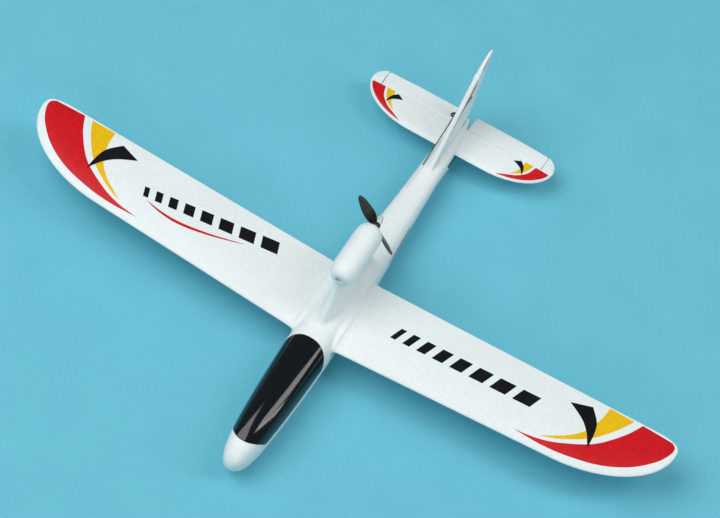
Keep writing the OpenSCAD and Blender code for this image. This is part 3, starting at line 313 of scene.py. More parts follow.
def loft(rings):
    """Points and faces of a closed solid through rings of the same number of points."""
    n, m = len(rings), len(rings[0])
    points = [p for ring in rings for p in ring]
    faces = [tuple(range(m)), tuple((n - 1) * m + i for i in range(m - 1, -1, -1))]
    for r in range(n - 1):
        for i in range(m):
            j = (i + 1) % m
            faces.append((r * m + i, (r + 1) * m + i, (r + 1) * m + j, r * m + j))
    return points, faces


def round_ring(steps):
    """The cosine and sine of evenly spaced angles round a full turn."""
    return [(math.cos(2 * math.pi * i / steps), math.sin(2 * math.pi * i / steps)) for i in range(steps)]


def mirror(ring):
    """The ring on the other side of the middle plane, turned the same way round."""
    return [(-x, y, z) for x, y, z in reversed(ring)]


def merged(parts):
    points, faces = [], []
    for part_points, part_faces in parts:
        base = len(points)
        points += part_points
        faces += [tuple(base + i for i in f) for f in part_faces]
    return points, faces


def revolve(profile, height, across=0.0, steps=72):
    """A solid turned about an axis that runs aft, from (radius, distance) pairs."""
    turn = round_ring(steps)
    return loft([[(across + r * c, d, height + r * s) for c, s in turn] for r, d in profile])


def block(low, high):
    (a, b, c), (d, e, f) = low, high
    return loft([[(a, b, z), (d, b, z), (d, e, z), (a, e, z)] for z in (c, f)])


def spread(a, b, n, power_in=1.0):
    """n + 1 values from a to b, packed towards both ends when power_in is above 1."""
    out = []
    for i in range(n + 1):
        u = 2 * i / n - 1
        out.append((a + b) / 2 + (b - a) / 2 * math.copysign(1 - (1 - abs(u)) ** power_in, u))
    return out


def bake_modifiers(obj):
    depsgraph = bpy.context.evaluated_depsgraph_get()
    mesh = bpy.data.meshes.new_from_object(obj.evaluated_get(depsgraph))
    obj.modifiers.clear()
    old, obj.data = obj.data, mesh
    bpy.data.meshes.remove(old)


def boolean(obj, tool, operation="DIFFERENCE"):
    """Cuts obj with a tool given as points and faces."""
    cutter = object_of("cutter", *tool)
    mod = obj.modifiers.new("cut", "BOOLEAN")
    mod.object = cutter
    mod.operation = operation
    mod.solver = "MANIFOLD"
    bake_modifiers(obj)
    bpy.data.objects.remove(cutter)


def copy_of(obj, name):
    twin = obj.copy()
    twin.data = obj.data.copy()
    twin.name = name
    bpy.context.scene.collection.objects.link(twin)
    return twin


def finish_piece(obj, material, body, replaced=(), sharp=40):
    """Shading, material, and what the piece rides on and stands for."""
    obj.data.shade_smooth()
    obj.data.set_sharp_from_angle(angle=math.radians(sharp))
    obj.data.materials.clear()
    obj.data.materials.append(material)
    if replaced:
        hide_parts(*replaced)
    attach(obj, body)
    return obj


# ---------------------------------------------------------------- materials
def node(tree, kind, inputs=None, **settings):
    made = tree.nodes.new(kind)
    for key, value in settings.items():
        setattr(made, key, value)
    for key, value in (inputs or {}).items():
        if isinstance(value, bpy.types.NodeSocket):
            tree.links.new(value, made.inputs[key])
        else:
            made.inputs[key].default_value = value
    return made


def shader(name, metallic=0.0, coat=0.0, coat_roughness=0.05, specular=0.5):
    material = bpy.data.materials.new(name)
    material.use_nodes = True
    bsdf = material.node_tree.nodes["Principled BSDF"]
    bsdf.inputs["Metallic"].default_value = metallic
    bsdf.inputs["Coat Weight"].default_value = coat
    bsdf.inputs["Coat Roughness"].default_value = coat_roughness
    bsdf.inputs["Specular IOR Level"].default_value = specular
    return material, material.node_tree, bsdf


def coordinates(tree, stretch=(1, 1, 1)):
    source = node(tree, "ShaderNodeTexCoord")
    return node(tree, "ShaderNodeMapping", {"Vector": source.outputs["Object"], "Scale": stretch}).outputs[0]


def mixed(tree, factor, dark, light):
    mix = node(tree, "ShaderNodeMix", data_type="RGBA")
    tree.links.new(factor, mix.inputs["Factor"])
    mix.inputs["A"].default_value = (*dark, 1)
    mix.inputs["B"].default_value = (*light, 1)
    return mix.outputs["Result"]


def remapped(tree, value, low, high, source=(0.0, 1.0)):
    return node(tree, "ShaderNodeMapRange", {"Value": value, "From Min": source[0], "From Max": source[1],
                                             "To Min": low, "To Max": high}).outputs[0]


def paint(tree, bsdf, blend, span, dark, light):
    """Base colour between two tones, as blend runs over the span."""
    tree.links.new(mixed(tree, remapped(tree, blend, 0, 1, span), dark, light), bsdf.inputs["Base Color"])


def set_bump(tree, bsdf, height, strength, depth):
    bump = node(tree, "ShaderNodeBump", {"Height": height, "Strength": strength, "Distance": depth * MM})
    tree.links.new(bump.outputs[0], bsdf.inputs["Normal"])


def grained(name, dark, light, grain=700.0, rough=(0.35, 0.5), relief=0.04, strength=0.4,
            stretch=(1, 1, 1), **shading):
    """Moulded or drawn stuff: a fine grain in colour and relief, and a slow change of roughness."""
    material, tree, bsdf = shader(name, **shading)
    place = coordinates(tree, stretch)
    fine = node(tree, "ShaderNodeTexNoise", {"Vector": place, "Scale": grain, "Detail": 5.0}).outputs["Fac"]
    slow = node(tree, "ShaderNodeTexNoise",
                {"Vector": place, "Scale": grain / 14, "Detail": 3.0}).outputs["Fac"]
    blend = node(tree, "ShaderNodeMath", {0: fine, 1: slow}, operation="ADD").outputs[0]
    paint(tree, bsdf, blend, (0.7, 1.3), dark, light)
    tree.links.new(remapped(tree, slow, rough[0], rough[1], (0.35, 0.65)), bsdf.inputs["Roughness"])
    set_bump(tree, bsdf, fine, strength, relief)
    return material


def foam(name, dark, light, bead=2.6, relief=0.10, rough=(0.42, 0.56), strength=0.55, **shading):
    """Bead foam: packed beads with fine seams between them, each bead a touch different in tone."""
    material, tree, bsdf = shader(name, **shading)
    place = coordinates(tree)
    beads = node(tree, "ShaderNodeTexVoronoi", {"Vector": place, "Scale": 1 / (bead * MM), "Randomness": 0.9})
    seams = node(tree, "ShaderNodeTexVoronoi", {"Vector": place, "Scale": 1 / (bead * MM), "Randomness": 0.9},
                 feature="DISTANCE_TO_EDGE")
    groove = remapped(tree, seams.outputs["Distance"], 0, 1, (0.0, 0.16))
    tone = node(tree, "ShaderNodeSeparateColor", {"Color": beads.outputs["Color"]}).outputs[0]
    fine = node(tree, "ShaderNodeTexNoise", {"Vector": place, "Scale": 1600.0, "Detail": 3.0}).outputs["Fac"]
    slow = node(tree, "ShaderNodeTexNoise", {"Vector": place, "Scale": 30.0, "Detail": 3.0}).outputs["Fac"]
    toned = node(tree, "ShaderNodeMath", {0: tone, 1: groove}, operation="MULTIPLY").outputs[0]
    varied = node(tree, "ShaderNodeMath", {0: toned, 1: slow}, operation="ADD").outputs[0]
    paint(tree, bsdf, varied, (0.2, 1.3), dark, light)
    tree.links.new(remapped(tree, slow, rough[0], rough[1], (0.3, 0.7)), bsdf.inputs["Roughness"])
    height = node(tree, "ShaderNodeMath", {0: fine, 1: 0.35, 2: groove}, operation="MULTIPLY_ADD").outputs[0]
    set_bump(tree, bsdf, height, strength, relief)
    return material


WAVE_UNIT = 0.314  # a wave texture of this scale has about one band to a unit of length


def banded(name, dark, light, band=1.2, direction="X", rough=(0.4, 0.6), relief=0.08, twist=1.5, cross=False,
           **shading):
    """Stuff with lines in it: plywood grain, windings, and, with cross, a woven strap."""
    material, tree, bsdf = shader(name, **shading)
    place = coordinates(tree)
    scale = WAVE_UNIT / (band * MM)
    lines = node(tree, "ShaderNodeTexWave",
                 {"Vector": place, "Scale": scale, "Distortion": twist, "Detail": 2.0, "Detail Scale": 1.5},
                 wave_type="BANDS", bands_direction=direction).outputs["Fac"]
    if cross:
        other = node(tree, "ShaderNodeTexWave", {"Vector": place, "Scale": scale, "Distortion": twist},
                     wave_type="BANDS", bands_direction="Y").outputs["Fac"]
        lines = node(tree, "ShaderNodeMath", {0: lines, 1: other}, operation="MULTIPLY").outputs[0]
    slow = node(tree, "ShaderNodeTexNoise", {"Vector": place, "Scale": 90.0, "Detail": 4.0}).outputs["Fac"]
    blend = node(tree, "ShaderNodeMath", {0: lines, 1: slow}, operation="ADD").outputs[0]
    paint(tree, bsdf, blend, (0.3, 1.5), dark, light)
    tree.links.new(remapped(tree, slow, rough[0], rough[1], (0.35, 0.65)), bsdf.inputs["Roughness"])
    set_bump(tree, bsdf, lines, 0.5, relief)
    return material


WHITE_FOAM = foam("white_bead_foam", (0.86, 0.885, 0.88), (0.93, 0.945, 0.94), strength=0.5)
RED_PRINT = foam("red_print", (0.60, 0.003, 0.008), (0.74, 0.006, 0.013), relief=0.05, rough=(0.36, 0.46),
                 specular=0.28)
YELLOW_PRINT = foam("yellow_print", (0.86, 0.47, 0.001), (0.97, 0.58, 0.004), relief=0.05, rough=(0.36, 0.46),
                    specular=0.28)
BLACK_PRINT = foam("black_print", (0.002, 0.002, 0.003), (0.006, 0.006, 0.007),
                   relief=0.05, rough=(0.36, 0.46),
                   specular=0.22)
CANOPY_BLACK = grained("canopy_gloss_black", (0.0015, 0.0015, 0.002), (0.003, 0.003, 0.004), grain=260,
                       rough=(0.05, 0.08), relief=0.004, strength=0.12, specular=0.5)
PROP_BLACK = grained("propeller_black", (0.008, 0.007, 0.007), (0.018, 0.016, 0.015), grain=900,
                     rough=(0.24, 0.34), relief=0.02, strength=0.25)

SLOT_MATERIALS = {
    "foam": WHITE_FOAM,
    "skid_plastic": grained("skid_plastic", (0.62, 0.64, 0.65), (0.74, 0.76, 0.77),
                            grain=600, rough=(0.3, 0.5)),
    "canopy_black": CANOPY_BLACK,
    "magnet_nickel": grained("magnet_nickel", (0.55, 0.55, 0.54), (0.74, 0.74, 0.72),
                             grain=900, rough=(0.1, 0.24),
                             relief=0.01, metallic=1.0),
    "plywood": banded("plywood", (0.42, 0.27, 0.13), (0.66, 0.48, 0.28),
                      band=2.4, rough=(0.5, 0.7), relief=0.05),
    "battery_wrap": grained("battery_wrap", (0.015, 0.05, 0.25), (0.03, 0.09, 0.36),
                            grain=120, rough=(0.15, 0.3),
                            relief=0.15, strength=0.5, coat=0.5),
    "strap_fabric": banded("strap_fabric", (0.008, 0.008, 0.008), (0.05, 0.05, 0.05),
                           band=0.9, rough=(0.75, 0.95),
                           relief=0.15, twist=0.2, cross=True),
    "plug_plastic": grained("plug_plastic", (0.42, 0.02, 0.015), (0.55, 0.04, 0.03)),
    "lead_red": grained("lead_red", (0.38, 0.015, 0.012), (0.52, 0.03, 0.025), grain=500, rough=(0.4, 0.6)),
    "receiver_case": grained("receiver_case", (0.012, 0.015, 0.017), (0.03, 0.034, 0.036),
                             grain=1100, relief=0.06),
    "controller_wrap": grained("controller_wrap", (0.006, 0.05, 0.02), (0.02, 0.09, 0.04), grain=140,
                               rough=(0.15, 0.3), relief=0.15, strength=0.5, coat=0.5),
    "lead_black": grained("lead_black", (0.008, 0.008, 0.008), (0.025, 0.025, 0.025),
                          grain=500, rough=(0.4, 0.6)),
    "servo_case": grained("servo_case", (0.008, 0.02, 0.10), (0.02, 0.04, 0.16),
                          grain=900, rough=(0.12, 0.25),
                          relief=0.02, coat=0.4),
    "screw_steel": grained("screw_steel", (0.42, 0.42, 0.42), (0.66, 0.66, 0.66),
                           grain=1200, rough=(0.2, 0.4),
                           relief=0.01, metallic=1.0),
    "white_nylon": grained("white_nylon", (0.74, 0.74, 0.71), (0.84, 0.84, 0.82),
                           grain=900, rough=(0.35, 0.5)),
    "rod_steel": grained("rod_steel", (0.012, 0.012, 0.014), (0.05, 0.05, 0.055),
                         grain=900, rough=(0.25, 0.45),
                         relief=0.01, stretch=(1, 0.05, 1), metallic=0.6),
    "guide_tube": grained("guide_tube", (0.78, 0.78, 0.74), (0.86, 0.86, 0.83), grain=500, rough=(0.3, 0.45),
                          stretch=(1, 0.08, 1)),
    "carbon": grained("carbon", (0.006, 0.006, 0.007), (0.04, 0.04, 0.043), grain=1800, rough=(0.25, 0.4),
                      relief=0.03, stretch=(0.03, 1, 1)),
    "black_plastic": grained("black_plastic", (0.008, 0.008, 0.008), (0.025, 0.025, 0.025), grain=1000),
    "motor_metal": grained("motor_metal", (0.28, 0.30, 0.33), (0.46, 0.48, 0.51),
                           grain=1500, rough=(0.22, 0.38),
                           relief=0.015, stretch=(1, 6, 1), metallic=1.0),
    "copper": banded("copper", (0.22, 0.07, 0.02), (0.55, 0.20, 0.07),
                     band=0.6, direction="Y", rough=(0.2, 0.4),
                     relief=0.2, twist=0.3, metallic=0.8),
    "shaft_steel": grained("shaft_steel", (0.5, 0.5, 0.5), (0.7, 0.7, 0.7), grain=1500, rough=(0.12, 0.25),
                           relief=0.008, metallic=1.0),
    "propeller_black": PROP_BLACK,
}


# ---------------------------------------------------------------- foam body
VOXEL = 0.9
STUB_INSIDE = 8.0
STUB_OUTSIDE = 28.0
FLARE = 3.4
BODY_SIDE = 20.8


def root_flare(x):
    """How far the wing's root swells where it meets the body: a quarter round, fading outwards."""
    run = min(max((x - BODY_SIDE) / (2.2 * FLARE), 0), 1)
    return FLARE * (1 - math.sqrt(1 - (1 - run) ** 2)) * (0.9 if x < BODY_SIDE else 1)


def wing_ring(x, steps=44):
    flare = root_flare(x)
    front = [(i / steps) ** 1.7 for i in range(steps + 1)]
    return ([wing_point(x, s, 1, flare) for s in reversed(front)]
            + [wing_point(x, s, -1, flare) for s in front[1:]])


def hull_ring(d, inset=0.0, steps=96):
    return [section_point(d, 360 * i / steps, inset) for i in range(steps)]


def pylon_ring(k, steps=36):
    a, b, w = (curve(k, PYLON_LINES, c) for c in (1, 2, 3))
    z = PYLON_BASE + (PYLON_TOP - PYLON_BASE) * k
    port = []
    for i in range(steps + 1):
        s = (i / steps) ** 1.5
        port.append((w * max(math.sin(math.pi * s ** 0.75), 0) ** 0.8, a + (b - a) * s, z))
    return port + [(-x, y, h) for x, y, h in reversed(port[1:-1])]


def pod_profile():
    nose = [(POD_MOUTH + (POD_RADIUS - POD_MOUTH) * math.sqrt(1 - (1 - i / 24) ** 2),
             POD_FRONT + POD_NOSE * (i / 24) ** 1.3) for i in range(25)]
    tail = [(POD_EXIT + POD_LIP + (POD_RADIUS - POD_EXIT - POD_LIP) * math.sqrt(1 - (i / 20) ** 2),
             POD_REAR - POD_TAIL * (1 - i / 20)) for i in range(21)]
    return nose + tail


def hatch_cutter():
    """Everything above the hatch's edge, which is cut square to the foam."""
    rings = []
    for d in spread(HATCH_FRONT + 0.002, HATCH_REAR - 0.002, 110, 2.2):
        t = hatch_angle(d)
        inner = section_point(d, t, FOAM_WALL + 1)
        outer = section_point(d, t)
        reach = (max(outer[0] + 0.8 * (outer[0] - inner[0]), 0.01), d, outer[2] + 0.8 * (outer[2] - inner[2]))
        inner = (max(inner[0], 0.005), d, min(inner[2], outer[2] - 0.5))
        top = spine(d) + 8
        rings.append([inner, reach, (reach[0] + 4, d, top), (-reach[0] - 4, d, top),
                      (-reach[0], d, reach[2]), (-inner[0], d, inner[2])])
    return loft(rings)


def foam_core():
    """The outside of body, pylon, pod and wing seats as one skin with soft inner corners."""
    hull_stations = spread(-NOSE_LENGTH, BODY_LINES[-1][0], 230, 1.35)
    stub = [wing_ring(STUB_INSIDE + (STUB_OUTSIDE - STUB_INSIDE) * i / 20) for i in range(21)]
    parts = [loft([hull_ring(d) for d in hull_stations]),
             loft([pylon_ring(j / 40) for j in range(41)]),
             revolve(pod_profile(), MOTOR_HEIGHT),
             loft(stub),
             loft([mirror(ring) for ring in stub])]
    core = object_of("foam_core", *merged(parts))
    remesh = core.modifiers.new("remesh", "REMESH")
    remesh.mode = "VOXEL"
    remesh.voxel_size = VOXEL * MM
    bake_modifiers(core)
    soften(core, 6, lambda x, d, z: 1.0)
    soften(core, 40, blend_weight)
    return core


def blend_weight(x, d, z):
    """1 where the pylon grows out of the spine and into the pod, 0 elsewhere."""
    if d < -4 or d > 128 or z < 44:
        return 0.0
    return min((z - 44) / 4, 1) * min((d + 4) / 8, 1) * min((128 - d) / 10, 1) * min(max((97 - z) / 8, 0), 1)


def soften(obj, rounds, weight):
    group = obj.vertex_groups.new(name="soften")
    for vertex in obj.data.vertices:
        x, y, z = vertex.co
        w = weight(x / MM, y / MM - WING_Y, z / MM)
        if w > 0:
            group.add([vertex.index], w, "REPLACE")
    smooth = obj.modifiers.new("smooth", "SMOOTH")
    smooth.factor = 0.5
    smooth.iterations = rounds
    smooth.vertex_group = group.name
    bake_modifiers(obj)
    obj.vertex_groups.clear()


def rod_bore(start, end, radius, steps=32):
    """A round bore along a pushrod, from inside the cabin out through the side of the boom."""
    (ax, ad, az), (bx, bd, bz) = start, end
    rings = []
    for d in (TUBE_START, bd + 30):
        u = (d - ad) / (bd - ad)
        x, z = ax + (bx - ax) * u, az + (bz - az) * u
        rings.append([(x + radius * c, d, z + radius * s) for c, s in round_ring(steps)])
    return loft(rings)


def make_body_and_pod():
    core = foam_core()
    pod = copy_of(core, "pod")
    sleeve = [(POD_RADIUS + 0.05, POD_FRONT - 3), (POD_RADIUS + 0.05, POD_REAR + 3)]
    boolean(pod, revolve(sleeve, MOTOR_HEIGHT), "INTERSECT")
    boolean(core, revolve([(r + 0.04, d) for r, d in sleeve], MOTOR_HEIGHT))
    bore = POD_RADIUS - POD_WALL
    boolean(pod, revolve([(POD_MOUTH, POD_FRONT - 4), (POD_MOUTH, POD_FRONT + POD_MOUTH_DEPTH),
                          (bore, POD_FRONT + POD_NOSE), (bore, MOUNT_REAR), (POD_EXIT, MOUNT_REAR),
                          (POD_EXIT, POD_REAR + 4)], MOTOR_HEIGHT))
    width, depth, place = WIRE_WAY
    wire_way = block((-width / 2, place - depth / 2, spine(place) - 12),
                     (width / 2, place + depth / 2, MOTOR_HEIGHT - 8))
    boolean(pod, wire_way)
    boolean(core, wire_way)

    hollow_front, hollow_rear = -0.955 * NOSE_LENGTH, 0.73 * AFT_LENGTH
    stations = [hollow_front + (hollow_rear - hollow_front) * i / 120 for i in range(121)]
    boolean(core, loft([hull_ring(d, FOAM_WALL, 72) for d in stations]))
    boolean(core, hatch_cutter())
    for side in (-1, 1):
        far, near = side * 60, side * WING_ROOT_X
        boolean(core, block((min(near, far), -80, 0), (max(near, far), 160, 100)))
    slot_half = TAIL_THICKNESS / 2 + SLIP
    boolean(core, block((-60, TAIL_FRONT - SLIP, TAIL_HEIGHT - slot_half),
                        (60, ELEVATOR_CUT + SLIP, TAIL_HEIGHT + slot_half)))
    fin_slot = [(FIN_FOOT[0], FIN_BASE), (FOOT_D + 60, FIN_BASE), (FOOT_D + 60, at_rise(FIN_SHARE))]
    fin_slot += fin_front_line()[::-1]
    boolean(core, loft([[(x, a, b - SLIP) for a, b in fin_slot] for x in (-slot_half, slot_half)]))
    for side, (start, end) in ((1, ELEVATOR_ROD), (-1, RUDDER_ROD)):
        boolean(core, rod_bore(start, end, TUBE_D / 2 + SLIP))
    for side in (-1, 1):
        near, far = side * (ELEVATOR_ROOT - SEAT), side * 30
        boolean(core, block((min(near, far), ELEVATOR_CUT, 4), (max(near, far), ELEVATOR_CUT + 40, 44)))

    for name, side in SIDES:
        half = block((min(0, side * 70), -200, -5), (max(0, side * 70), 400, 140))
        for whole, stem in ((core, "fuselage"), (pod, "pod")):
            piece = copy_of(whole, "foam_%s_%s" % (stem, name))
            boolean(piece, half, "INTERSECT")
            finish_piece(piece, WHITE_FOAM, "airframe", ["%s_%s" % (stem, name)])
    bpy.data.objects.remove(core)
    bpy.data.objects.remove(pod)


def make_wings():
    count = 110
    stations = [WING_ROOT_X + ROOT_SEAM + (WING_END - 0.02 - WING_ROOT_X) * math.sin(math.pi / 2 * i / count)
                for i in range(count + 1)]
    near_root = [WING_ROOT_X + ROOT_SEAM + 8 * i / 14 for i in range(15)]
    stations = near_root + [x for x in stations if x > near_root[-1] + 1]
    rings = [wing_ring(x) for x in stations]
    for name, wing in (("wing_left", rings), ("wing_right", [mirror(ring) for ring in rings])):
        finish_piece(object_of("foam_" + name, *loft(wing)), WHITE_FOAM, "airframe", [name])


# ---------------------------------------------------------------- tail
def tail_ring(x, steps=40):
    front = [(i / steps) ** 1.5 for i in range(steps + 1)]
    return ([tail_point(x, s, 1) for s in reversed(front)] + [tail_point(x, s, -1) for s in front[1:]])


def make_stabilizer():
    reach = TAIL_HALF - 0.02
    xs = [reach * math.sin(math.pi / 2 * i / 60) for i in range(-60, 61)]
    tail = object_of("foam_stabilizer", *loft([tail_ring(x) for x in xs]))
    boolean(tail, block((-TIP_CUT - SEAT, ELEVATOR_CUT, TAIL_HEIGHT - 10),
                        (TIP_CUT + SEAT, ELEVATOR_CUT + 60, TAIL_HEIGHT + 10)))
    finish_piece(tail, WHITE_FOAM, "airframe", ["stabilizer"])


def panel(outline, half_thickness, edge, place, steps=6):
    """A foam board with rounded edges. outline is a closed list of (a, b) pairs, counter-clockwise;
    half_thickness and edge give its half thickness and the depth of its rounding at a pair."""
    count = len(outline)
    inward = []
    for i in range(count):
        (ax, ay), (bx, by) = outline[i - 1], outline[(i + 1) % count]
        length = math.hypot(bx - ax, by - ay) or 1
        inward.append((-(by - ay) / length, (bx - ax) / length))
    rings = []
    for j in range(-steps, steps + 1):
        angle = math.pi / 2 * j / steps
        ring = []
        for (a, b), (na, nb) in zip(outline, inward):
            depth = edge(a, b) * (1 - math.cos(angle))
            pa, pb = a + na * depth, b + nb * depth
            ring.append(place(pa, pb, half_thickness(pa, pb) * math.sin(angle)))
        rings.append(ring)
    return loft(rings)


def dense(corners, step=1.5):
    """The outline with points every few millimetres, so its rounding is even."""
    out = []
    for i, (ax, ay) in enumerate(corners):
        bx, by = corners[(i + 1) % len(corners)]
        n = max(int(math.hypot(bx - ax, by - ay) / step), 1)
        out += [(ax + (bx - ax) * k / n, ay + (by - ay) * k / n) for k in range(n)]
    return out


def blank_half_thickness(behind):
    """Half thickness of the elevator at a distance behind its hinge."""
    reach = min(max(behind / ELEVATOR_TAPER, 0), 1)
    return NOSE_R + (REAR_HALF - NOSE_R) * reach


def make_elevators():
    root, tip = ELEVATOR_ROOT, TIP_CUT - SEAT
    front, rear = ELEVATOR_HINGE - NOSE_R, TAIL_REAR
    corners = [(root, front), (tip, front), (tip, rear - 2.6), (tip - 1.4, rear - 1.2),
               (tip / 2 + 10, rear - 0.1), (root + 2, rear - 0.1), (root, ELEVATOR_HINGE + 11)]
    for name, side in SIDES:
        points, faces = panel(dense(corners), lambda a, b: blank_half_thickness(b - ELEVATOR_HINGE),
                              lambda a, b: 0.9 * blank_half_thickness(b - ELEVATOR_HINGE)
                              if a < tip - 2 and a > root + 2 or b > ELEVATOR_HINGE else 0.5,
                              lambda a, b, c: (side * a, b, TAIL_HEIGHT + c))
        finish_piece(object_of("foam_elevator_" + name, points, faces), WHITE_FOAM, "elevator",
                     ["elevator_" + name])


def make_fin():
    slant = math.sqrt(1 + HINGE_LEAN ** 2)
    back = [(hinge_line(at_rise(FIN_SHARE)) - FIN_BACK * slant, at_rise(FIN_SHARE)),
            (FOOT_D - FIN_BACK * slant - 0.4, FOOT_Z - 2)]
    outline = dense([(FIN_FOOT[0], FIN_BASE), (FIN_FOOT[1], FIN_BASE)] + back[::-1]
                    + fin_front_line()[::-1], 1.0)

    def edge(a, b):
        """The front edge is rounded above the body, and square where it is let into it."""
        if hinge_line(b) - a < FIN_BACK * slant + 3 or b > at_rise(FIN_SHARE) - 0.8:
            return 0.35
        return 0.3 + 1.9 * min(max((b - spine(min(a, 260)) - 0.5) / 6, 0), 1)

    points, faces = panel(outline, lambda a, b: TAIL_THICKNESS / 2, edge, lambda a, b, c: (c, a, b))
    finish_piece(object_of("foam_fin", points, faces), WHITE_FOAM, "airframe", ["fin"])


def rudder_half(a, b):
    behind = (a - hinge_line(b)) / math.sqrt(1 + HINGE_LEAN ** 2)
    reach = min(max(behind / RUDDER_TAPER, 0), 1)
    return NOSE_R + (REAR_HALF - NOSE_R) * reach


def make_rudder():
    slant = math.sqrt(1 + HINGE_LEAN ** 2)
    rear = [(FOOT_D + curve(k, RUDDER_REAR, 1) - 0.06, at_rise(k))
            for k in [0.998 * math.sin(math.pi / 2 * i / 40) for i in range(41)]]
    top = [(FOOT_D + curve(k, FIN_FRONT, 1), at_rise(k))
           for k in [0.995 - (0.985 - FIN_SHARE) * i / 14 for i in range(15)]]
    nose = [(hinge_line(z) - NOSE_R * slant, z) for z in (at_rise(FIN_SHARE) + 1.5, FOOT_Z)]
    outline = dense([(FOOT_D - NOSE_R * slant, FOOT_Z)] + rear + top + nose[:1], 2.0)
    cap_foot = at_rise(FIN_SHARE)

    def edge(a, b):
        under_cap = cap_foot < b < cap_foot + 2.4 and a < hinge_line(b) + 4
        return 0.35 if under_cap else 0.9 * rudder_half(a, b)

    points, faces = panel(outline, rudder_half, edge, lambda a, b, c: (c, a, b))
    finish_piece(object_of("foam_rudder", points, faces), WHITE_FOAM, "rudder", ["rudder"])


# ---------------------------------------------------------------- canopy
def make_canopy():
    steps = 72
    front, rear = HATCH_FRONT + HATCH_GAP + 0.02, HATCH_REAR - HATCH_GAP - 0.02
    rings = []
    for d in spread(front, rear, 130, 2.4):
        edge = hatch_angle(d, HATCH_GAP, CANOPY_SIDE_GAP)
        if edge > 179.2:
            continue
        outer, inner = [], []
        for i in range(steps + 1):
            t = edge + (360 - 2 * edge) * i / steps
            outer.append(section_point(d, t))
            inner.append(section_point(d, t, CANOPY_WALL))
        rings.append(outer + inner[::-1])
    points, faces = loft(rings)
    m = len(rings[0])
    ends = []
    for base in (0, (len(rings) - 1) * m):
        ends += [(base + i, base + i + 1, base + m - 2 - i, base + m - 1 - i) for i in range(steps)]
    finish_piece(object_of("canopy", points, faces[2:] + ends), CANOPY_BLACK, "canopy",
                 ["canopy_shell"], sharp=55)


# ---------------------------------------------------------------- propeller
BLADE_ROOT = 3.2
BLADE_PITCH = 62.0
BLADE_HUB = ((3.4, -2), (3.85, -1.6), (4, -1), (4, 1), (3.85, 1.6), (3.4, 2))  # radius and height


def blade_ring(s, steps=28):
    r = BLADE_ROOT + (PROP_D / 2 - BLADE_ROOT - 0.05) * s
    chord = 4.6 + 7 * math.sin(math.pi * min(s ** 0.8, 1)) ** 0.9
    chord *= math.sqrt(max(1 - max((s - 0.86) / 0.14, 0) ** 2, 0.0004))
    thick = 1.5 - 0.9 * s
    angle = -math.atan(BLADE_PITCH / (2 * math.pi * (r + 4)))
    ring = []
    for i in range(steps):
        t = 2 * math.pi * i / steps
        x = chord / 2 * math.cos(t)
        y = thick / 2 * math.sin(t) * (1 if math.sin(t) > 0 else 0.5) + 0.05 * chord * (1 - math.cos(t) ** 2)
        y *= min(chord / 3, 1)
        ring.append((x * math.cos(angle) - y * math.sin(angle), r, x * math.sin(angle) + y * math.cos(angle)))
    return ring


def make_propeller():
    """Blades are drawn along +Y with the shaft along +Z, and are then stood on the motor's axis."""
    rings = [blade_ring(i / 44) for i in range(45)]
    blades = [loft(rings), loft([[(-x, -y, z) for x, y, z in ring] for ring in rings])]
    hub = loft([[(r * c, r * s, z) for c, s in round_ring(48)] for r, z in BLADE_HUB])
    points, faces = merged(blades + [hub])
    turn = math.radians(-PROP_REST)
    stood = []
    for x, y, z in points:
        across = x * math.cos(turn) - y * math.sin(turn)
        down = x * math.sin(turn) + y * math.cos(turn)
        stood.append((across, PROP_PLACE + z, MOTOR_HEIGHT - down))
    blade = object_of("propeller", stood, faces)
    remesh = blade.modifiers.new("remesh", "REMESH")
    remesh.mode = "VOXEL"
    remesh.voxel_size = 0.16 * MM
    smooth = blade.modifiers.new("smooth", "SMOOTH")
    smooth.factor = 0.5
    smooth.iterations = 4
    bake_modifiers(blade)
    boolean(blade, revolve([(SHAFT_D / 2 + 0.05, PROP_PLACE - 5), (SHAFT_D / 2 + 0.05, PROP_PLACE + 5)],
                           MOTOR_HEIGHT, steps=40))
    finish_piece(blade, PROP_BLACK, "propeller", ["propeller_blades"])


def make_spinner():
    start = PROP_PLACE + 2
    profile = [(SHAFT_D / 2 + 0.05, start + 5), (SHAFT_D / 2 + 0.05, start), (3.5, start)]
    profile += [(3.6 * math.sqrt(1 - (i / 20) ** 2) + 0.001, start + 0.3 + 9.68 * (i / 20) ** 0.85)
                for i in range(21)]
    cone = object_of("spinner_cone", *revolve(profile, MOTOR_HEIGHT, steps=56))
    finish_piece(cone, SLOT_MATERIALS["white_nylon"], "propeller", ["spinner"])


# ---------------------------------------------------------------- printed graphics
def bend(points, count):
    """A smooth line through the points, as count + 1 points evenly spaced in parameter."""
    out = []
    last = len(points) - 1
    for i in range(count + 1):
        u = min(i / count * last, last - 1e-9)
        k = int(u)
        f = u - k
        p0, p1, p2, p3 = (points[min(max(k + j, 0), last)] for j in (-1, 0, 1, 2))
        out.append(tuple(0.5 * (2 * b + (c - a) * f + (2 * a - 5 * b + 4 * c - d) * f * f
                                + (3 * b - a - 3 * c + d) * f ** 3)
                         for a, b, c, d in zip(p0, p1, p2, p3)))
    return out


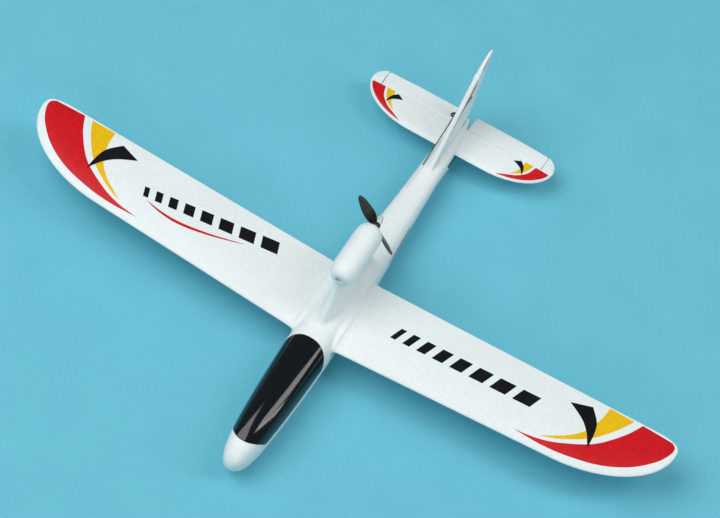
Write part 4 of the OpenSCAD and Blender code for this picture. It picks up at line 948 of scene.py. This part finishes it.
def print_patch(name, first, second, surface, material, body="airframe", lift=0.05, across=10):
    """A thin printed film between two lines. surface(a, b, lift) is a place on the face it lies on."""
    n = len(first) - 1
    top, bottom = [], []
    for (ax, ay), (bx, by) in zip(first, second):
        for j in range(across + 1):
            f = j / across
            a, b = ax + (bx - ax) * f, ay + (by - ay) * f
            top.append(surface(a, b, lift))
            bottom.append(surface(a, b, -0.03))
    m = across + 1
    size = len(top)
    faces = []
    for i in range(n):
        for j in range(across):
            a, b, c, d = i * m + j, i * m + j + 1, (i + 1) * m + j + 1, (i + 1) * m + j
            faces += [(a, b, c, d), (size + d, size + c, size + b, size + a)]
        faces += [(i * m, (i + 1) * m, size + (i + 1) * m, size + i * m),
                  (i * m + across, size + i * m + across, size + (i + 1) * m + across, (i + 1) * m + across)]
    for i in (0, n):
        faces += [(i * m + j, size + i * m + j, size + i * m + j + 1, i * m + j + 1) for j in range(across)]
    piece = object_of(name, top + bottom, faces)
    bm = bmesh.new()
    bm.from_mesh(piece.data)
    bmesh.ops.remove_doubles(bm, verts=bm.verts, dist=0.002 * MM)
    bmesh.ops.dissolve_degenerate(bm, edges=bm.edges, dist=0.001 * MM)
    bmesh.ops.recalc_face_normals(bm, faces=bm.faces)
    bm.to_mesh(piece.data)
    bm.free()
    return finish_piece(piece, material, body, sharp=50)


def wing_surface(side):
    return lambda a, b, lift: (side * a, b, wing_top(a, b) + lift)


def tail_surface(side):
    return lambda a, b, lift: (side * a, b, tail_top(a, b) + lift)


def inset_outline(front, start, end, border, count):
    """Points a border inside the leading edge, from one distance across to another."""
    out = []
    for i in range(count + 1):
        x = start + (end - start) * math.sin(math.pi / 2 * i / count)
        h = 0.05
        slope = (front(min(x + h, end)) - front(x - h)) / (min(x + h, end) - x + h)
        length = math.hypot(1, slope)
        out.append((x - slope / length * border, front(x) + border / length))
    return out


def make_wing_tip_prints():
    count = 72
    outer = bend([(194.7, 17.0), (220.3, 16.2), (245.1, 18.3), (275.3, 25.6), (299.6, 38.6), (316.0, 54.6),
                  (322.6, 65.6), (325.2, 73.6), (324.4, 78.6), (320.6, 81.6)], count)
    red_inner = bend([outer[0], (216.7, 19.8), (237.4, 26.8), (262.5, 41.6), (281.2, 64.3),
                      (290.7, 83.0)], count)
    yellow_outer = bend([(216.0, 22.4), (230.3, 27.6), (247.1, 37.0), (261.0, 48.4), (275.2, 68.2),
                         (282.4, 82.6)], count)
    yellow_inner = bend([(216.0, 22.4), (226.7, 28.7), (238.6, 36.6), (249.7, 48.9), (256.2, 67.1),
                         (257.8, 82.8)], count)
    claw_upper = bend([(244.4, 75.2), (254.5, 62.1), (257.8, 49.9), (258.8, 34.2)], count)
    claw_lower = bend([(225.0, 68.4), (241.2, 58.4), (251.1, 47.9), (258.8, 34.2)], count)
    for name, side in SIDES:
        face = wing_surface(side)
        print_patch("print_red_" + name, outer, red_inner, face, RED_PRINT)
        print_patch("print_yellow_" + name, yellow_outer, yellow_inner, face, YELLOW_PRINT)
        print_patch("print_claw_" + name, claw_upper, claw_lower, face, BLACK_PRINT, lift=0.1)


def slanted_bars(name, side, corners, widths, gap):
    """A row of slanted black bars between two edge lines, widest first."""
    (x0, low0, high0), (x1, low1, high1) = corners
    face = wing_surface(side)
    total = sum(widths) + gap * (len(widths) - 1)
    lean = 0.35
    at = 0.0
    for k, width in enumerate(widths):
        edges = []
        for offset in (at, at + width):
            u = offset / total
            x = x0 + (x1 - x0) * u
            low, high = low0 + (low1 - low0) * u, high0 + (high1 - high0) * u
            slant = lean * (high - low)
            shares = [i / 10 for i in range(11)]
            edges.append([(x + slant * (f - 0.5), low + (high - low) * f) for f in shares])
        print_patch("%s_%d" % (name, k + 1), edges[0], edges[1], face, BLACK_PRINT, across=6)
        at += width + gap


def make_wing_bars():
    widths = [15.0, 13.5, 12.0, 10.5, 9.0, 7.5, 6.0, 4.5]
    slanted_bars("bar_left", 1, ((199, 43.0, 57.0), (60, 38.0, 52.0)), widths, 6.0)
    slanted_bars("bar_right", -1, ((72, 56.0, 69.0), (203, 38.5, 48.5)), widths, 6.0)
    line = bend([(196.0, 36.5), (177.7, 33.4), (158.0, 33.4), (130.3, 38.6), (99.0, 48.0)], 48)
    lower, upper = [], []
    for i, (x, d) in enumerate(line):
        swell = 1.9 * math.sin(math.pi * i / 48) ** 0.8
        lower.append((x, d - swell))
        upper.append((x, d + 0.5 * swell))
    print_patch("print_sweep_right", lower, upper, wing_surface(-1), RED_PRINT, across=4)


def make_tail_prints():
    count = 40
    rear = ELEVATOR_CUT - 0.5
    outer = [p for p in inset_outline(tail_front, 52.0, TAIL_HALF - 0.4, 2.0, 40) if p[1] < rear - 0.6]
    outer = bend(outer + [(94.6, rear)], count)
    red_inner = bend([outer[0], (61.0, 259.0), (70.0, 263.5), (77.5, 271.0), (81.0, rear)], count)
    yellow_outer = bend([(62.0, 261.5), (69.0, 265.0), (75.4, 272.0), (78.8, rear)], count)
    yellow_inner = bend([(62.0, 261.5), (66.5, 266.0), (69.3, 272.0), (70.2, rear)], count)
    claw_upper = bend([(66.2, 279.8), (70.6, 275.6), (72.6, 271.0), (73.2, 265.6)], 20)
    claw_lower = bend([(59.6, 276.2), (66.0, 273.6), (70.2, 270.4), (73.2, 265.6)], 20)
    for name, side in SIDES:
        face = tail_surface(side)
        print_patch("print_tail_red_" + name, outer, red_inner, face, RED_PRINT)
        print_patch("print_tail_yellow_" + name, yellow_outer, yellow_inner, face, YELLOW_PRINT)
        print_patch("print_tail_claw_" + name, claw_upper, claw_lower, face, BLACK_PRINT, lift=0.1, across=6)


def make_fin_prints():
    """The same colours on both sides of the fin, following its front edge up onto the rudder's cap."""
    count = 30

    def at(offset, k):
        return (FOOT_D + offset, at_rise(k))

    def limit(a, z):
        return (min(a, hinge_line(z) - 4.2), z)

    ks = [0.30 + (FIN_SHARE - 0.32) * i / count for i in range(count + 1)]
    front = [(FOOT_D + curve(k, FIN_FRONT, 1) + 2.6, at_rise(k)) for k in ks]
    red_back = [limit(a + 0.02 + 8 * (i / count) ** 0.8, z) for i, (a, z) in enumerate(front)]
    gold_front = [limit(a + 1.5, z) for a, z in red_back[6:24]]
    gold_back = [limit(a + 0.02 + 4.5 * (i / 17) ** 0.7, z) for i, (a, z) in enumerate(gold_front)]
    claw_upper = bend([at(-15.0, 0.505), at(-9.5, 0.565), at(-4.0, 0.595), at(1.4, 0.60)], 20)
    claw_lower = bend([at(-15.0, 0.505), at(-9.0, 0.535), at(-3.0, 0.54), at(4.4, 0.52)], 20)
    cap_ks = [FIN_SHARE + 0.035 + 0.10 * i / 12 for i in range(13)]
    cap_front = [(FOOT_D + curve(k, FIN_FRONT, 1) + 3.0, at_rise(k)) for k in cap_ks]
    cap_back = [(a + 9.5 - 5.0 * i / 12, z) for i, (a, z) in enumerate(cap_front)]
    for name, side in SIDES:
        def face(a, b, lift):
            return (side * (TAIL_THICKNESS / 2 + lift), a, b)

        def cap_face(a, b, lift):
            return (side * (rudder_half(a, b) + lift), a, b)

        print_patch("print_fin_red_" + name, front, red_back, face, RED_PRINT, across=4)
        print_patch("print_fin_yellow_" + name, gold_front, gold_back, face, YELLOW_PRINT, across=4)
        print_patch("print_fin_claw_" + name, claw_upper, claw_lower, face, BLACK_PRINT, lift=0.1, across=4)
        print_patch("print_cap_red_" + name, cap_front, cap_back, cap_face, RED_PRINT, body="rudder",
                    across=6)


def make_body_stripe():
    """A thin dark and red pinstripe along both sides of the boom."""
    def face_of(side):
        def face(a, b, lift):
            middle = (keel(a) + spine(a)) / 2
            h = (spine(a) - keel(a)) / 2
            u = min(abs(b - middle) / h, 1)
            return (side * (half_width(a) * (1 - u ** ROUNDNESS) ** (1 / ROUNDNESS) + lift), a, b)
        return face

    stations = [112 + 46 * i / 40 for i in range(41)]
    for name, side in SIDES:
        for tint, material, rise, thick in (("dark", BLACK_PRINT, 0.0, 0.9), ("red", RED_PRINT, 2.0, 1.1)):
            low, high = [], []
            for i, d in enumerate(stations):
                middle = (keel(d) + spine(d)) / 2 + 1.5 + rise
                half = thick / 2 * math.sin(math.pi * (i + 0.01) / 40.02) ** 0.4
                low.append((d, middle - half))
                high.append((d, middle + half))
            print_patch("stripe_%s_%s" % (tint, name), low, high, face_of(side), material, lift=0.12,
                        across=3)


# ---------------------------------------------------------------- camera, floor and light
def make_camera():
    focal_pixels, frame_width, sensor = 2992.35, 720, 36
    data = bpy.data.cameras.new("camera")
    data.sensor_width = sensor
    data.lens = focal_pixels * sensor / frame_width
    camera = bpy.data.objects.new("camera", data)
    right = (0.86258, 0.49131, 0.12071)
    down = (0.47927, -0.7171, -0.50604)
    ahead = (-0.16206, 0.49435, -0.85402)
    turn = Matrix([right, [-v for v in down], [-v for v in ahead]]).transposed().to_4x4()
    camera.matrix_world = Matrix.Translation((0.43265, -1.32807, 2.34765)) @ turn
    bpy.context.scene.collection.objects.link(camera)
    bpy.context.scene.camera = camera


def area_light(name, place, aim, size, power_watts, colour=(1, 1, 1)):
    data = bpy.data.lights.new(name, "AREA")
    data.shape = "RECTANGLE"
    data.size, data.size_y = size
    data.energy = power_watts
    data.color = colour
    light = bpy.data.objects.new(name, data)
    light.location = place
    light.rotation_euler = (Vector(aim) - Vector(place)).to_track_quat("-Z", "Y").to_euler()
    bpy.context.scene.collection.objects.link(light)


def make_stage():
    size = 6.0
    mesh = bpy.data.meshes.new("floor")
    corners = [(-size, -size, 0), (size, -size, 0), (size, size, 0), (-size, size, 0)]
    mesh.from_pydata(corners, [], [(0, 1, 2, 3)])
    floor = bpy.data.objects.new("floor", mesh)
    bpy.context.scene.collection.objects.link(floor)
    floor.data.materials.append(grained("pale_blue_paper", (0.155, 0.53, 0.66), (0.175, 0.57, 0.70),
                                        grain=260,
                                        rough=(0.75, 0.9), relief=0.02, strength=0.1, specular=0.15))
    world = bpy.data.worlds.new("studio")
    world.use_nodes = True
    world.node_tree.nodes["Background"].inputs["Color"].default_value = (0.62, 0.84, 0.90, 1)
    world.node_tree.nodes["Background"].inputs["Strength"].default_value = 0.26
    bpy.context.scene.world = world
    bpy.context.scene.view_settings.view_transform = "Standard"
    area_light("key", (-1.2, -0.6, 2.6), (0, 0, 0), (2.2, 2.2), 52)
    area_light("fill", (1.6, 0.8, 2.2), (0, 0, 0), (0.5, 2.4), 17)
    area_light("front", (0.5, -2.6, 1.7), (0, 0, 0), (2.4, 1.0), 13)
    area_light("streak", (1.35, 0.35, 1.35), (0, -0.12, 0.03), (0.10, 1.6), 3)


SOFT_EDGED = {"battery": 0.9, "receiver": 0.5, "speed_controller": 0.6, "elevator_servo": 0.35,
              "rudder_servo": 0.35, "belly_skid": 0.3, "battery_plug": 0.3, "front_former": 0.4,
              "rear_former": 0.4, "canopy_posts": 0.4, "motor_bell": 0.3, "prop_hub": 0.3,
              "elevator_horn": 0.12, "rudder_horn": 0.12, "elevator_servo_arm": 0.12,
              "rudder_servo_arm": 0.12}  # radius of the softened edges, mm


def dress_frame():
    """The carried-over CAD pieces take their materials from the record's slots, and soft edges."""
    slots = {part["node"]: part["material_slot"] for part in frame["record"]["subparts"]}
    for name, obj in frame["nodes"].items():
        for slot in obj.material_slots:
            slot.material = SLOT_MATERIALS[slots[name]]
        if name in SOFT_EDGED:
            bevel = obj.modifiers.new("soft_edge", "BEVEL")
            bevel.width = SOFT_EDGED[name] * MM
            bevel.segments = 3
            bevel.limit_method = "ANGLE"
            bevel.angle_limit = math.radians(40)


make_camera()
make_stage()
dress_frame()
make_body_and_pod()
make_wings()
make_stabilizer()
make_elevators()
make_fin()
make_rudder()
make_canopy()
make_propeller()
make_spinner()
make_wing_tip_prints()
make_wing_bars()
make_tail_prints()
make_fin_prints()
make_body_stripe()
